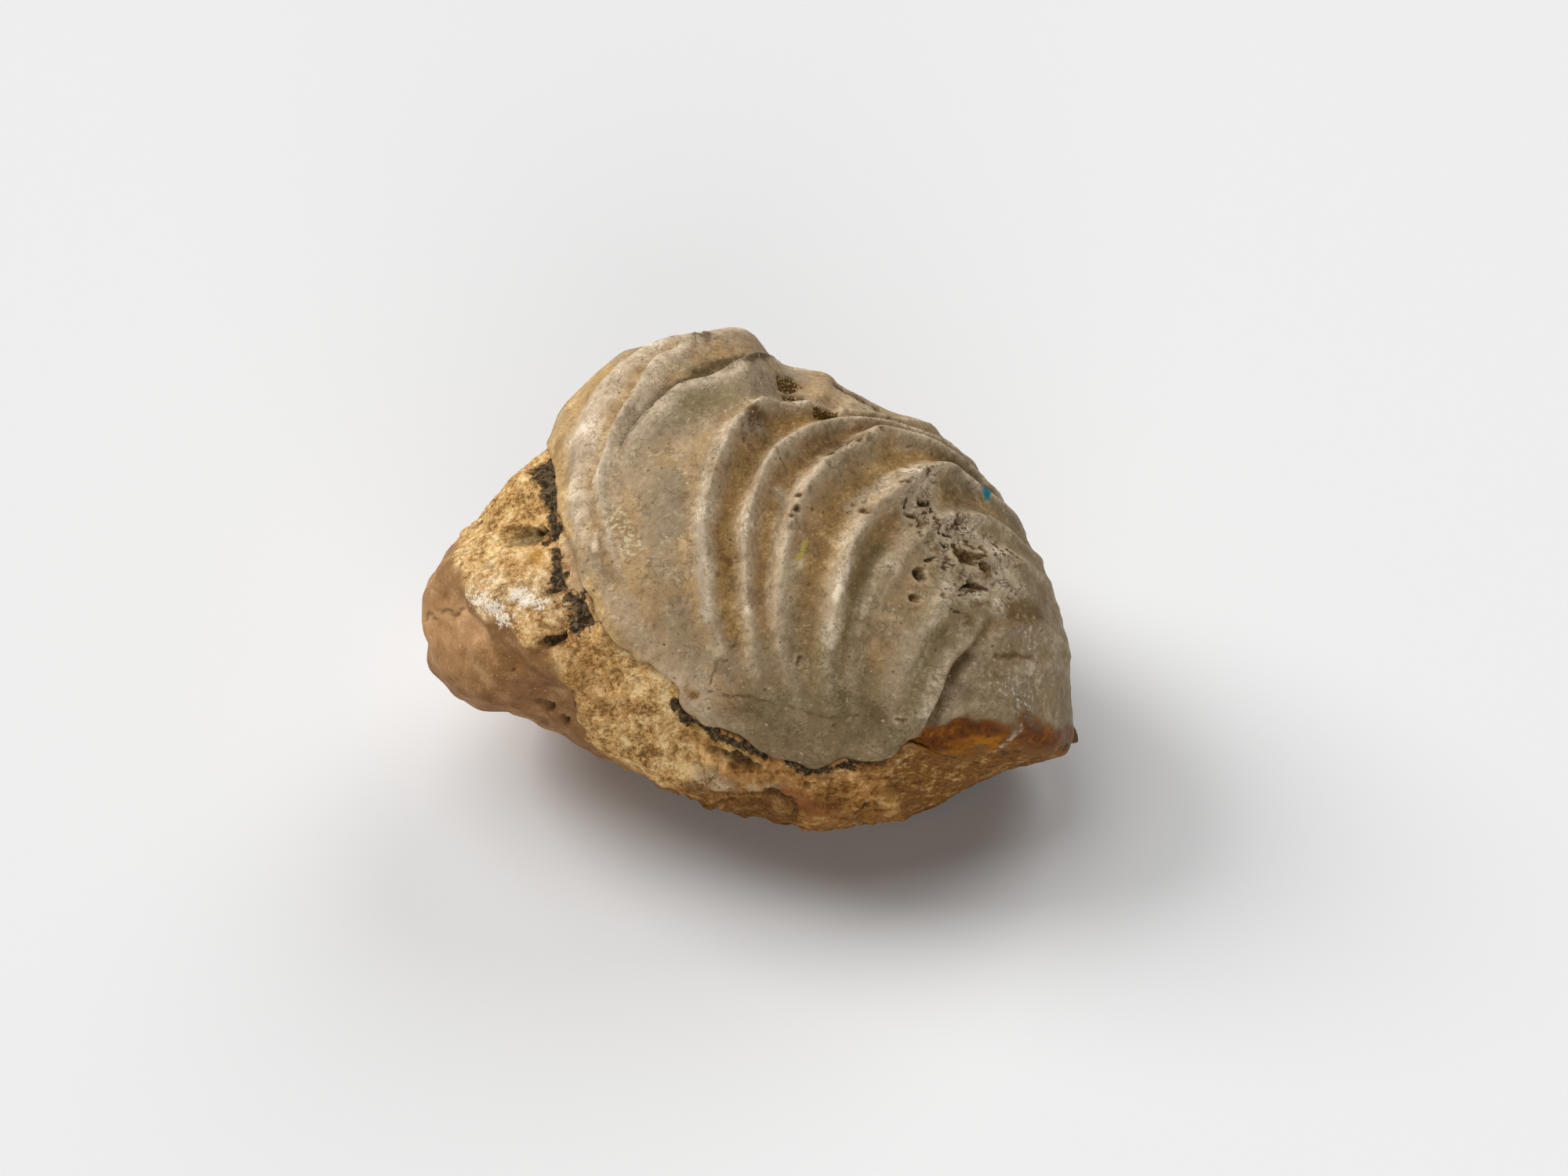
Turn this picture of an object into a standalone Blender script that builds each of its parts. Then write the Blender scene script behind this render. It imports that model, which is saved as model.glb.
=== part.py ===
"""Fossil oyster: one thick, ribbed valve lying on the lump of limestone that it was found in.

The valve and the stone are both lumps that swell from one tilted outline, the fossil's widest girdle.
Points are first given on that face, in millimetres: across to the right, up the face, and out of it.
Each lump is a closed mesh of rings that is cut along the seam where the valve lies on its stone.
"""

import math

import bmesh
import bpy
import numpy as np

MM = 0.001

# The face: the plane of the widest girdle leans back, so that its front looks forwards and up.
FACE_TILT = math.radians(48)
OUTLINE = [
    (59.5, -28), (59.5, -17.5), (58.5, -9), (55.5, -1), (53, 4.5), (48, 12), (42, 19.5), (35.5, 26),
    (28, 30), (22.5, 32.5), (17, 35), (14, 37.5), (8, 38), (4, 41), (0, 44.5), (-4.5, 45.5), (-11, 45),
    (-18.5, 43.5), (-27, 39.5), (-32, 34), (-35.5, 30.5), (-38, 24.5), (-43.5, 18.5), (-49.5, 10.5), (-56, 4),
    (-59.5, -2), (-60, -9), (-58, -16.5), (-54.5, -21.5), (-50.5, -24), (-44.5, -25), (-38.5, -27),
    (-31, -31.5), (-22.5, -35), (-14, -39.5), (-5, -43), (3.5, -45), (13.5, -46), (23.5, -45),
    (32.5, -43), (39.5, -39.5), (46.5, -36), (54, -34), (58.5, -32),
]  # fmt: skip
FRONT_BULGE = 39.0
BACK_BULGE = 38.0
FULLNESS = 2.1  # 2 is an ellipsoid; more is boxier
SOLE_HEIGHT = -37.0  # where the worn underside is flat, measured from the middle of the girdle

# The valve: its beak is at the right end, and the dome rises along DOME_AXIS.
BEAK = (59.0, -29.0, 0.0)
DOME_AXIS = (0.388, 0.424, 0.818)

# The seam between valve and stone, from the beak along the near side, round the left end and back
# along the far side. Two numbers lie on the front of the body; three give a point behind the girdle.
SEAM = [
    (56, -33.5), (49, -34.5), (39.5, -33.5), (30, -30), (26, -32), (20, -33.5), (17, -33), (12.5, -35),
    (8.5, -34), (4, -32.5), (-1, -29.5), (-5, -28), (-9, -26.5), (-12.5, -23), (-13, -20), (-17.5, -16),
    (-20.5, -15.5), (-23, -13), (-26.5, -9), (-28.5, -4.5), (-30.5, -0.5), (-32.5, 5), (-35.5, 12),
    (-36.5, 18), (-37, 22.5), (-36.5, 25.5, -3), (-31, 33, -9), (-21, 38.5, -15), (-9, 41, -17),
    (3, 40, -14), (12, 36, -15), (22, 31, -20), (34, 22, -23), (46, 8, -22), (54, -6, -18),
    (57.5, -20, -10), (58, -30, -5),
]  # fmt: skip
VALVE_SETBACK = 0.5  # the ridges stand up from just below the smooth body
SEAM_GAP = 0.3
STONE_SEAM_SETBACK = 1.0  # the stone starts this far beyond the valve's edge
CREVICE_DEPTH = 3.5
RIDGE_POWER = 1.3  # above 1 makes the crests narrower than the grooves

# Low swells: height in millimetres, distance from one to the next, and the seed of their places.
VALVE_SWELL = (0.25, 14, 3)
STONE_SWELLS = [(0.4, 17, 5), (0.22, 7, 6)]

# Growth ridges, from the margin to the beak. Each line is a list of (station, distance from the
# beak). Stations are angles round the axis from the beak to the middle: negative on the near flank,
# 0 over the crest and positive on the far flank.
HEIGHT_STATIONS = (-62, -45, -25, 0, 20, 42, 90)


class Ridge:
    """One growth line: where it runs, how high it stands and the groove between it and the next."""

    def __init__(self, line, height, groove, groove_at=0.5):
        self.line = line
        self.height = height
        self.groove = groove
        self.groove_at = groove_at  # where the groove is deepest: 0 at this ridge, 1 at the next


RIDGES = [
    Ridge([(-90, 90), (-60, 102), (-40, 108), (-10, 112), (15, 112), (35, 108), (60, 100), (100, 90)],
          (0, 0, 0, 0, 0, 0, 0), (0, 0, 0, 0, 0, 0, 0)),
    Ridge([(-90, 80), (-57, 94.7), (-41, 103), (-30, 104.2), (-16, 105.5), (11, 107), (27, 106.5),
           (36, 103), (60, 93), (100, 82)],
          (0, 0.3, 0.6, 0.8, 0.8, 0.5, 0.3), (0, 0.1, 0.4, 0.6, 0.7, 0.5, 0.2)),
    Ridge([(-90, 76), (-57, 91), (-49, 94.6), (-39, 98.5), (-30, 101.2), (-18, 102.7), (-2, 103.5),
           (22, 102.9), (38, 99.8), (50, 95.7), (64, 88), (100, 78)],
          (0, 0.3, 1.2, 1.6, 1.1, 0.3, 0.2), (0, 0.1, 0.5, 1.5, 2.0, 1.7, 0.6), 0.75),
    Ridge([(-90, 74), (-57, 89.4), (-40, 97.3), (-30, 99.6), (-19, 101.2), (-9, 101.1), (0, 100.7),
           (10, 98.9), (16, 95.8), (25, 92.4), (44, 86.4), (60, 80), (100, 70)],
          (0, 0, 0.3, 0.9, 1.1, 0.9, 0.3), (0, 0, 0.1, 0.1, 0.1, 0, 0), 0.7),
    Ridge([(-90, 66), (-60, 74), (-51, 78), (-37, 83.5), (-21, 87.7), (-6, 89.6), (0, 89.9), (8, 88.5),
           (14, 86.5), (20, 80.5), (28, 73), (44, 64), (60, 58), (100, 50)],
          (0, 0.5, 1.8, 1.9, 1.5, 0.7, 0.3), (0, 0.4, 1.0, 1.9, 0.7, 0.3, 0.2), 0.55),
    Ridge([(-90, 60), (-60, 68), (-46, 72.9), (-35, 77.1), (-24, 80.5), (-11, 82), (6, 81.8),
           (14, 79.4), (23, 73.8), (28, 69.5), (44, 58), (60, 53), (100, 46)],
          (0, 0.7, 1.5, 1.6, 1.4, 0.9, 0.4), (0, 0.4, 1.0, 0.9, 0.6, 0.5, 0.3), 0.6),
    Ridge([(-90, 53), (-60, 61.5), (-47, 68.4), (-30, 73.4), (-12, 76.3), (2, 75.9), (17, 72.2),
           (23, 69.6), (34, 59.2), (43, 50.5), (60, 45.5), (100, 40)],
          (0, 0.6, 1.4, 1.7, 1.8, 1.2, 0.4), (0, 0.3, 0.8, 1.0, 0.9, 0.6, 0.3), 0.65),
    Ridge([(-90, 51), (-60, 56.5), (-44, 61), (-23, 65.4), (-10, 66.4), (8, 64.9), (18, 63),
           (28, 56.8), (37, 47.7), (50, 41.5), (100, 35)],
          (0, 0.4, 1.3, 1.8, 1.8, 1.2, 0.4), (0, 0.2, 0.7, 0.8, 0.8, 0.6, 0.3), 0.45),
    Ridge([(-90, 46), (-60, 50.5), (-45, 55), (-30, 57.8), (-12, 57.6), (6, 54.2), (23, 46.6),
           (36, 36.8), (60, 32), (100, 29)],
          (0, 0.3, 1.0, 0.9, 0.9, 0.8, 0.3), (0, 0.2, 0.7, 0.6, 0.5, 0.4, 0.2), 0.5),
    Ridge([(-90, 42), (-60, 45.5), (-40, 48), (-16, 47.5), (4, 46.3), (13, 42.8), (28, 33.2), (60, 27),
           (100, 25)],
          (0, 0.3, 0.9, 0.7, 0.8, 0.7, 0.3), (0, 0.3, 0.5, 0.5, 0.5, 0.4, 0.2), 0.55),
    Ridge([(-90, 37), (-55, 39.9), (-43, 41.5), (-36, 42.1), (-29, 41.5), (-22, 40.3), (-10, 38.5),
           (1, 35), (21, 25), (50, 19), (100, 17)],
          (0, 0.7, 0.8, -0.5, -0.5, -0.4, -0.2), (0, 0.5, 0.7, 0.5, 0.5, 0.4, 0.2), 0.35),
    Ridge([(-90, 34), (-55, 37.5), (-39, 38.4), (-27, 36.6), (-17, 35.7), (-11, 34.5), (-3, 32.1),
           (5, 28.3), (11, 25.2), (21, 19.5), (50, 14), (100, 12)],
          (0, 0.3, 0.8, 0.8, 0.5, 0.3, 0.2), (0, 0.3, 0.4, 0.3, 0.2, 0.1, 0), 0.35),
    Ridge([(-90, 22), (-44, 29), (-20, 28), (-10, 24), (0, 20), (20, 12), (50, 9), (100, 8)],
          (0, 0.2, 0.3, 0.3, 0.2, 0.1, 0), (0, 0.1, 0.2, 0.1, 0.1, 0, 0), 0.4),
    Ridge([(-90, 2), (0, 2), (100, 2)], (0, 0, 0, 0, 0, 0, 0), (0, 0, 0, 0, 0, 0, 0)),
]  # fmt: skip

# Larger borings and broken hollows in the valve: place on the face, radius and depth.
VALVE_PITS = [
    ((6.5, 35.5), 1.9, 1.5), ((11.5, 32.0), 2.6, 1.6), ((1.0, 29.5), 1.6, 0.8), ((31.5, 0.8), 1.0, 1.4),
    ((30.0, -3.7), 0.8, 1.0), ((39.5, -1.5), 1.6, 1.2), ((37.8, 5.0), 1.8, 1.0), ((31.0, 12.5), 1.7, 1.1),
    ((32.5, 9.5), 1.5, 1.0), ((7.9, 11.8), 0.8, 0.9), ((20.5, 11.4), 0.7, 0.8), ((44.5, 3.0), 1.3, 0.9),
]  # fmt: skip

# Forms of the stone: a line on the face, how far it reaches sideways, and its height (a hollow is
# negative).
STONE_FORMS = [
    ([(-54, 3), (-50, 0), (-43, -8), (-36, -15), (-29, -23), (-21, -30), (-13, -36)], 4.0, 1.6),
    ([(-47, -13), (-40, -17), (-34, -21)], 6.0, -1.4),
    ([(-58, -4), (-57, -12), (-53, -19)], 5.0, 1.0),
    ([(-41, 13), (-39, 5), (-35, -3), (-30, -11)], 4.5, -1.4),
    ([(-8, -36), (-4, -36), (-1, -35.5)], 3.2, 2.0),
    ([(4, -41.5), (10, -42), (16, -42)], 3.0, 0.9),
    ([(24, -40), (32, -38), (42, -35)], 4.0, -0.8),
    ([(-42.0, 7.5), (-40.5, 7.3)], 1.8, -2.6),
    ([(-35.5, -11.5), (-34.5, -11.5)], 1.6, -1.6),
    ([(-36.7, -22.7), (-36.2, -22.9)], 1.5, -1.6),
    ([(-33.7, -25.2), (-33.5, -25.6)], 1.2, -1.2),
]  # fmt: skip
RECESS_BY_BEAK = 0.2  # how far the stone lies below the valve's lip
RECESS_BY_MARGIN = 2.1
RECESS_REACH = 9.0

# Broad broken faces of the stone: the direction that each faces, and its distance from the middle.
BREAKS = [
    ((-0.30, 0.60, -0.75), 38.0), ((0.60, 0.20, -0.78), 42.5), ((-0.20, -0.75, -0.63), 40.5),
    ((-0.85, 0.10, -0.50), 50.0), ((0.15, -0.45, -0.88), 40.5),
]  # fmt: skip
BREAK_SHARPNESS = 45

# How finely the lumps are faceted.
VALVE_SPOKES = 64
RINGS_PAST_MARGIN = 5  # beyond the outermost growth line, under the stone
STONE_RINGS = 34
STONE_SPOKES = 64
STONE_CAP = 0.6  # radians from the dome's axis to the stone's first ring, hidden by the valve
WEDGE_SPOKES = 96
WEDGE_REACH = 90  # the cutting wedge ends well outside the body
SHARP_EDGE = math.radians(45)

VALVE_COLOUR = (0.36, 0.31, 0.24, 1)
STONE_COLOUR = (0.46, 0.30, 0.14, 1)


def unit(vectors):
    """Vectors of length 1 along these ones."""
    vectors = np.asarray(vectors, float)
    return vectors / np.linalg.norm(vectors, axis=-1, keepdims=True)


def smooth_table(x, stops, values):
    """A smooth curve through the values at the stops, level beyond the first and the last."""
    stops = np.asarray(stops, float)
    values = np.asarray(values, float)
    slopes = np.gradient(values, stops)
    x = np.clip(x, stops[0], stops[-1])
    i = np.clip(np.searchsorted(stops, x) - 1, 0, len(stops) - 2)
    span = stops[i + 1] - stops[i]
    t = (x - stops[i]) / span
    rise = values[i + 1] - values[i]
    bend_in = slopes[i] * span - rise
    bend_out = rise - slopes[i + 1] * span
    return values[i] + t * rise + t * (1 - t) * (bend_in * (1 - t) + bend_out * t)


def smooth_loop(points, steps=8):
    """A closed Catmull-Rom curve through the points."""
    p = np.asarray(points, float)
    before, after, later = np.roll(p, 1, 0), np.roll(p, -1, 0), np.roll(p, -2, 0)
    t = np.arange(steps)[None, :, None] / steps
    curve = 0.5 * (
        2 * p[:, None]
        + (after - before)[:, None] * t
        + (2 * before - 5 * p + 4 * after - later)[:, None] * t**2
        + (3 * p - before - 3 * after + later)[:, None] * t**3
    )
    return curve.reshape(-1, p.shape[1])


def swells(points, height, size, seed, count=20):
    """Smooth random swells of about this height and this distance apart."""
    chance = np.random.default_rng(seed)
    turns = unit(chance.normal(size=(count, 3))) * chance.uniform(0.6, 1.4, (count, 1)) * math.tau / size
    starts = chance.uniform(0, math.tau, count)
    return height * math.sqrt(2 / count) * np.cos(points @ turns.T + starts).sum(1)


OUTLINE_CURVE = smooth_loop(OUTLINE)
OUTLINE_ANGLES = np.arctan2(OUTLINE_CURVE[:, 1], OUTLINE_CURVE[:, 0])
OUTLINE_RADII = np.hypot(OUTLINE_CURVE[:, 0], OUTLINE_CURVE[:, 1])


def outline_radius(angle):
    """How far the girdle is from the middle, in this direction on the face."""
    order = np.argsort(OUTLINE_ANGLES)
    return np.interp(angle, OUTLINE_ANGLES[order], OUTLINE_RADII[order], period=math.tau)


def body(directions):
    """The smooth body's surface in these directions from the middle, in face coordinates."""
    directions = unit(directions)
    across, up, out = directions.T
    girdle = np.hypot(across, up) / outline_radius(np.arctan2(up, across))
    bulge = np.abs(out) / np.where(out > 0, FRONT_BULGE, BACK_BULGE)
    radius = (girdle**FULLNESS + bulge**FULLNESS) ** (-1 / FULLNESS)
    return directions * radius[:, None]


def on_face(points):
    """Points given by two numbers, moved out of the face onto the front of the body."""
    placed = []
    for point in points:
        across, up = point[:2]
        share = math.hypot(across, up) / float(outline_radius(math.atan2(up, across)))
        out = FRONT_BULGE * max(0.0, 1 - share**FULLNESS) ** (1 / FULLNESS)
        placed.append((across, up, point[2] if len(point) > 2 else out))
    return np.array(placed, float)


def frame_round(axis, towards):
    """Three square directions: along the axis, towards a second one, and across both."""
    along = unit(axis)
    beside = unit(np.asarray(towards) - along * np.dot(towards, along))
    return along, beside, np.cross(along, beside)


def growth_place(points):
    """Distance from the beak, and the station's angle, of points on the body."""
    to_middle, over_crest, to_far_side = frame_round(-np.array(BEAK), DOME_AXIS)
    offset = points - np.array(BEAK)
    return np.linalg.norm(offset, axis=1), np.degrees(np.arctan2(offset @ to_far_side, offset @ over_crest))


def ridge_tables(station):
    """Each ridge's reach, height and groove depth at these stations, one column a ridge."""
    reaches = [smooth_table(station, *zip(*ridge.line)) for ridge in RIDGES]
    heights = [smooth_table(station, HEIGHT_STATIONS, ridge.height) for ridge in RIDGES]
    grooves = [smooth_table(station, HEIGHT_STATIONS, ridge.groove) for ridge in RIDGES]
    return np.array(reaches).T, np.array(heights).T, np.array(grooves).T


def ridge_relief(points):
    """How far the growth ridges stand above the body, or lie below it, in millimetres."""
    reach, station = growth_place(points)
    reaches, heights, grooves = ridge_tables(station)
    groove_at = np.array([ridge.groove_at for ridge in RIDGES])
    i = np.clip((reaches > reach[:, None]).sum(1) - 1, 0, len(RIDGES) - 2)
    row = np.arange(len(points))
    share = np.clip((reaches[row, i] - reach) / (reaches[row, i] - reaches[row, i + 1]), 0, 1)
    deepest = groove_at[i]
    outer_side = share < deepest
    crest = np.where(outer_side, heights[row, i], heights[row, i + 1])
    fall = np.where(outer_side, share / deepest, (1 - share) / (1 - deepest))
    bottom = -grooves[row, i]
    return bottom + (crest - bottom) * (0.5 + 0.5 * np.cos(math.pi * fall)) ** RIDGE_POWER


def distance_to_line(points, line):
    """Distance from each point to a line of straight stretches."""
    nearest = np.full(len(points), np.inf)
    for start, end in zip(line[:-1], line[1:]):
        step = end - start
        t = np.clip((points - start) @ step / (step @ step), 0, 1)
        nearest = np.minimum(nearest, np.linalg.norm(points - start - t[:, None] * step, axis=1))
    return nearest


def dome_place(directions):
    """Polar angle from the dome's axis and the turn round it, in radians."""
    up, towards_beak, across = frame_round(DOME_AXIS, BEAK)
    directions = unit(directions)
    turn = np.arctan2(directions @ across, directions @ towards_beak)
    return np.arccos(np.clip(directions @ up, -1, 1)), turn


def dome_direction(polar, turn):
    """The opposite of dome_place."""
    up, towards_beak, across = frame_round(DOME_AXIS, BEAK)
    level = np.cos(turn)[:, None] * towards_beak + np.sin(turn)[:, None] * across
    return np.cos(polar)[:, None] * up + np.sin(polar)[:, None] * level


SEAM_POLAR, SEAM_TURN = dome_place(smooth_loop(on_face(SEAM)))


def seam_polar(turn):
    """The polar angle at which the valve ends, for each turn round the dome."""
    order = np.argsort(SEAM_TURN)
    return np.interp(turn, SEAM_TURN[order], SEAM_POLAR[order], period=math.tau)


def valve_surface(directions):
    """The valve's outer surface, carried on past the seam so that it can be cut there."""
    points = body(directions)
    relief = ridge_relief(points) - VALVE_SETBACK + swells(points, *VALVE_SWELL)
    return points + unit(directions) * relief[:, None]


def broken(points):
    """The points moved in to the broken faces, with worn edges between one face and the next."""
    radius = np.linalg.norm(points, axis=1)
    directions = points / radius[:, None]
    nearness = (1 / radius) ** BREAK_SHARPNESS
    for facing, distance in BREAKS:
        nearness = nearness + np.maximum(directions @ unit(facing) / distance, 0) ** BREAK_SHARPNESS
    return directions * (nearness ** (-1 / BREAK_SHARPNESS))[:, None]


def stone_surface(directions):
    """The stone's surface: lower than the valve near the seam, and uneven."""
    points = broken(body(directions))
    polar, turn = dome_place(directions)
    beyond_seam = (polar - seam_polar(turn)) * np.linalg.norm(points, axis=1)
    recess = RECESS_BY_BEAK + (RECESS_BY_MARGIN - RECESS_BY_BEAK) * (0.5 - 0.5 * np.cos(turn))
    relief = -recess * np.exp(-((np.maximum(beyond_seam, 0) / RECESS_REACH) ** 2))
    for line, reach, height in STONE_FORMS:
        relief = relief + height * np.exp(-((distance_to_line(points, on_face(line)) / reach) ** 2))
    for swell in STONE_SWELLS:
        relief = relief + swells(points, *swell)
    return points + unit(directions) * relief[:, None]


def to_world(points):
    """Face coordinates in millimetres to the part's own, in metres, before it is set on its sole."""
    across, up, out = np.asarray(points, float).T
    sine, cosine = math.sin(FACE_TILT), math.cos(FACE_TILT)
    return np.stack([across, up * sine - out * cosine, up * cosine + out * sine], axis=1) * MM


def closed_rings(name, rings, first, last):
    """An object from rings of points, joined one to the next and closed at a point at both ends."""
    mesh = bmesh.new()
    loops = [[mesh.verts.new(p) for p in to_world(ring)] for ring in rings]
    for near, far in zip(loops[:-1], loops[1:]):
        for i in range(len(near)):
            j = (i + 1) % len(near)
            mesh.faces.new((near[i], near[j], far[j], far[i]))
    for loop, end in ((loops[0], first), (loops[-1], last)):
        tip = mesh.verts.new(to_world([end])[0])
        for i in range(len(loop)):
            mesh.faces.new((loop[i], loop[(i + 1) % len(loop)], tip))
    bmesh.ops.recalc_face_normals(mesh, faces=mesh.faces)
    bmesh.ops.triangulate(mesh, faces=mesh.faces)
    data = bpy.data.meshes.new(name)
    mesh.to_mesh(data)
    mesh.free()
    item = bpy.data.objects.new(name, data)
    bpy.context.scene.collection.objects.link(item)
    return item


def valve_lump():
    """The whole body with the growth ridges on it. Its rings follow the ridges."""
    along, beside, across = frame_round(BEAK, DOME_AXIS)
    turns = np.linspace(-math.pi, math.pi, VALVE_SPOKES, endpoint=False)
    polar = np.linspace(0, math.pi, 402)[1:-1]
    columns = []
    for turn in turns:
        level = math.cos(turn) * beside + math.sin(turn) * across
        directions = np.cos(polar)[:, None] * along + np.sin(polar)[:, None] * level
        reach, station = growth_place(body(directions))
        reach = np.maximum.accumulate(reach)
        middle_of_spoke = len(polar) // 2
        reaches, _, _ = ridge_tables(station[middle_of_spoke : middle_of_spoke + 1])
        stops = [reaches[0, -1]]
        for i in range(len(RIDGES) - 2, -1, -1):
            near, far = reaches[0, i + 1], reaches[0, i]
            middle = far + (near - far) * RIDGES[i].groove_at
            stops += [(near + middle) / 2, middle, (middle + far) / 2, far]
        stops += list(np.linspace(stops[-1], reach[-1], RINGS_PAST_MARGIN + 2)[1:-1])
        at = np.interp(stops, reach, polar)
        columns.append(np.cos(at)[:, None] * along + np.sin(at)[:, None] * level)
    rings = np.array(columns).transpose(1, 0, 2)
    shaped = [valve_surface(ring) for ring in rings]
    ends = valve_surface(np.array([along, -along]))
    return closed_rings("valve", shaped, ends[0], ends[1])


def stone_lump():
    """The whole body with the stone's own surface, in rings round the dome's axis."""
    turns = np.linspace(-math.pi, math.pi, STONE_SPOKES, endpoint=False)
    shares = np.linspace(0, 1, STONE_RINGS + 2)[1:-1]
    polar = STONE_CAP + (math.pi - STONE_CAP) * shares
    rings = [stone_surface(dome_direction(np.full(len(turns), p), turns)) for p in polar]
    ends = stone_surface(np.array([DOME_AXIS, -np.array(DOME_AXIS)]))
    return closed_rings("stone", rings, ends[0], ends[1])


def seam_wedge(name, drop, widen):
    """A closed wedge that holds everything above the seam: a cutter."""
    turns = np.linspace(-math.pi, math.pi, WEDGE_SPOKES, endpoint=False)
    polar = seam_polar(turns)
    edge = np.linalg.norm(body(dome_direction(polar, turns)), axis=1)
    axis = unit(DOME_AXIS)
    foot = -drop * axis
    inner = dome_direction(polar, turns) * (edge - CREVICE_DEPTH)[:, None] + foot
    wide = polar + widen / edge
    rim = dome_direction(wide, turns) * WEDGE_REACH + foot
    upper = [dome_direction(wide * share, turns) * WEDGE_REACH + foot for share in (2 / 3, 1 / 3)]
    wedge = closed_rings(name, [inner, rim, *upper], foot, axis * WEDGE_REACH + foot)
    wedge.hide_render = True
    wedge.display_type = "WIRE"
    return wedge


def pit_cutter(number, place, radius, depth):
    """A small ball sunk into the valve to cut a boring."""
    spot = on_face([place])
    direction = unit(spot)
    centre = valve_surface(direction)[0] + direction[0] * (radius - depth)
    mesh = bmesh.new()
    bmesh.ops.create_icosphere(mesh, subdivisions=1, radius=radius * MM)
    data = bpy.data.meshes.new(f"pit_{number}")
    mesh.to_mesh(data)
    mesh.free()
    cutter = bpy.data.objects.new(f"pit_{number}", data)
    cutter.location = to_world([centre])[0]
    cutter.hide_render = True
    cutter.display_type = "WIRE"
    bpy.context.scene.collection.objects.link(cutter)
    return cutter


def cut(item, cutter, operation="DIFFERENCE"):
    """A Boolean cut that is applied at once."""
    modifier = item.modifiers.new(cutter.name, "BOOLEAN")
    modifier.operation = operation
    modifier.object = cutter
    modifier.solver = "EXACT"
    bpy.context.view_layer.update()
    shape = bpy.data.meshes.new_from_object(item.evaluated_get(bpy.context.evaluated_depsgraph_get()))
    item.modifiers.clear()
    item.data = shape
    bpy.data.objects.remove(cutter)


def flatten_sole(item):
    """Cuts the underside level, where the stone has worn flat."""
    mesh = bmesh.new()
    mesh.from_mesh(item.data)
    parts = [*mesh.verts, *mesh.edges, *mesh.faces]
    level = (0, 0, SOLE_HEIGHT * MM)
    bmesh.ops.bisect_plane(mesh, geom=parts, plane_co=level, plane_no=(0, 0, -1), clear_outer=True)
    bmesh.ops.holes_fill(mesh, edges=[edge for edge in mesh.edges if edge.is_boundary])
    bmesh.ops.recalc_face_normals(mesh, faces=mesh.faces)
    mesh.to_mesh(item.data)
    mesh.free()


def set_on_sole(items):
    """Moves the pieces together until the middle of their box's underside is the origin."""
    corners = np.array([vertex.co for item in items for vertex in item.data.vertices])
    low, high = corners.min(0), corners.max(0)
    shift = -np.array([(low[0] + high[0]) / 2, (low[1] + high[1]) / 2, low[2]])
    for item in items:
        for vertex in item.data.vertices:
            vertex.co += type(vertex.co)(shift)


def finish(item, colour, roughness):
    """Smooth shading over soft edges, and the piece's own material."""
    item.data.shade_smooth()
    item.data.set_sharp_from_angle(angle=SHARP_EDGE)
    material = bpy.data.materials.new(item.name)
    material.use_nodes = True
    shader = material.node_tree.nodes["Principled BSDF"]
    shader.inputs["Base Color"].default_value = colour
    shader.inputs["Roughness"].default_value = roughness
    shader.inputs["Metallic"].default_value = 0.0
    item.data.materials.clear()
    item.data.materials.append(material)


def main():
    for item in list(bpy.data.objects):
        bpy.data.objects.remove(item)
    valve = valve_lump()
    cut(valve, seam_wedge("valve_side", drop=0, widen=0), "INTERSECT")
    for number, pit in enumerate(VALVE_PITS):
        cut(valve, pit_cutter(number, *pit))
    stone = stone_lump()
    cut(stone, seam_wedge("stone_side", drop=SEAM_GAP, widen=STONE_SEAM_SETBACK))
    flatten_sole(stone)
    set_on_sole([valve, stone])
    finish(valve, VALVE_COLOUR, 0.55)
    finish(stone, STONE_COLOUR, 0.85)


main()
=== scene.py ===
"""Fossil oyster on its lump of limestone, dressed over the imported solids.

Each of the two pieces is one closed sheet, a disc wrapped over the lump and turned in at the seam where
the valve lies on its stone. Its form is worked out in millimetres on the fossil's own leaning face:
across to the right, up the face, and out of it. Marks in the materials are kept as values at the mesh's
points, because they follow the same lines as the form.
"""

import math

import bmesh
import bpy
import numpy as np
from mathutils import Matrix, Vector


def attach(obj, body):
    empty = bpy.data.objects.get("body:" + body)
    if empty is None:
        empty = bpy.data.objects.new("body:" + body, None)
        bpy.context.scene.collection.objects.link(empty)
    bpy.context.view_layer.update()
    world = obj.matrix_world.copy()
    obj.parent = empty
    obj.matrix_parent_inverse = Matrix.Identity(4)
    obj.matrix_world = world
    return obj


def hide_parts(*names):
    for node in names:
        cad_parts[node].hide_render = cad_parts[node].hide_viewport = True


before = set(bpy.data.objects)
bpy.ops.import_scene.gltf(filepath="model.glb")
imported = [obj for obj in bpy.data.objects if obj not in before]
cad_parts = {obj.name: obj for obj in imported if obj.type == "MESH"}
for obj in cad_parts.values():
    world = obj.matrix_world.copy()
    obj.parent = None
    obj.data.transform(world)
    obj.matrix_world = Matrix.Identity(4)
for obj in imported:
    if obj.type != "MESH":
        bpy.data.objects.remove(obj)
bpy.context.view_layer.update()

MM = 0.001

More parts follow.
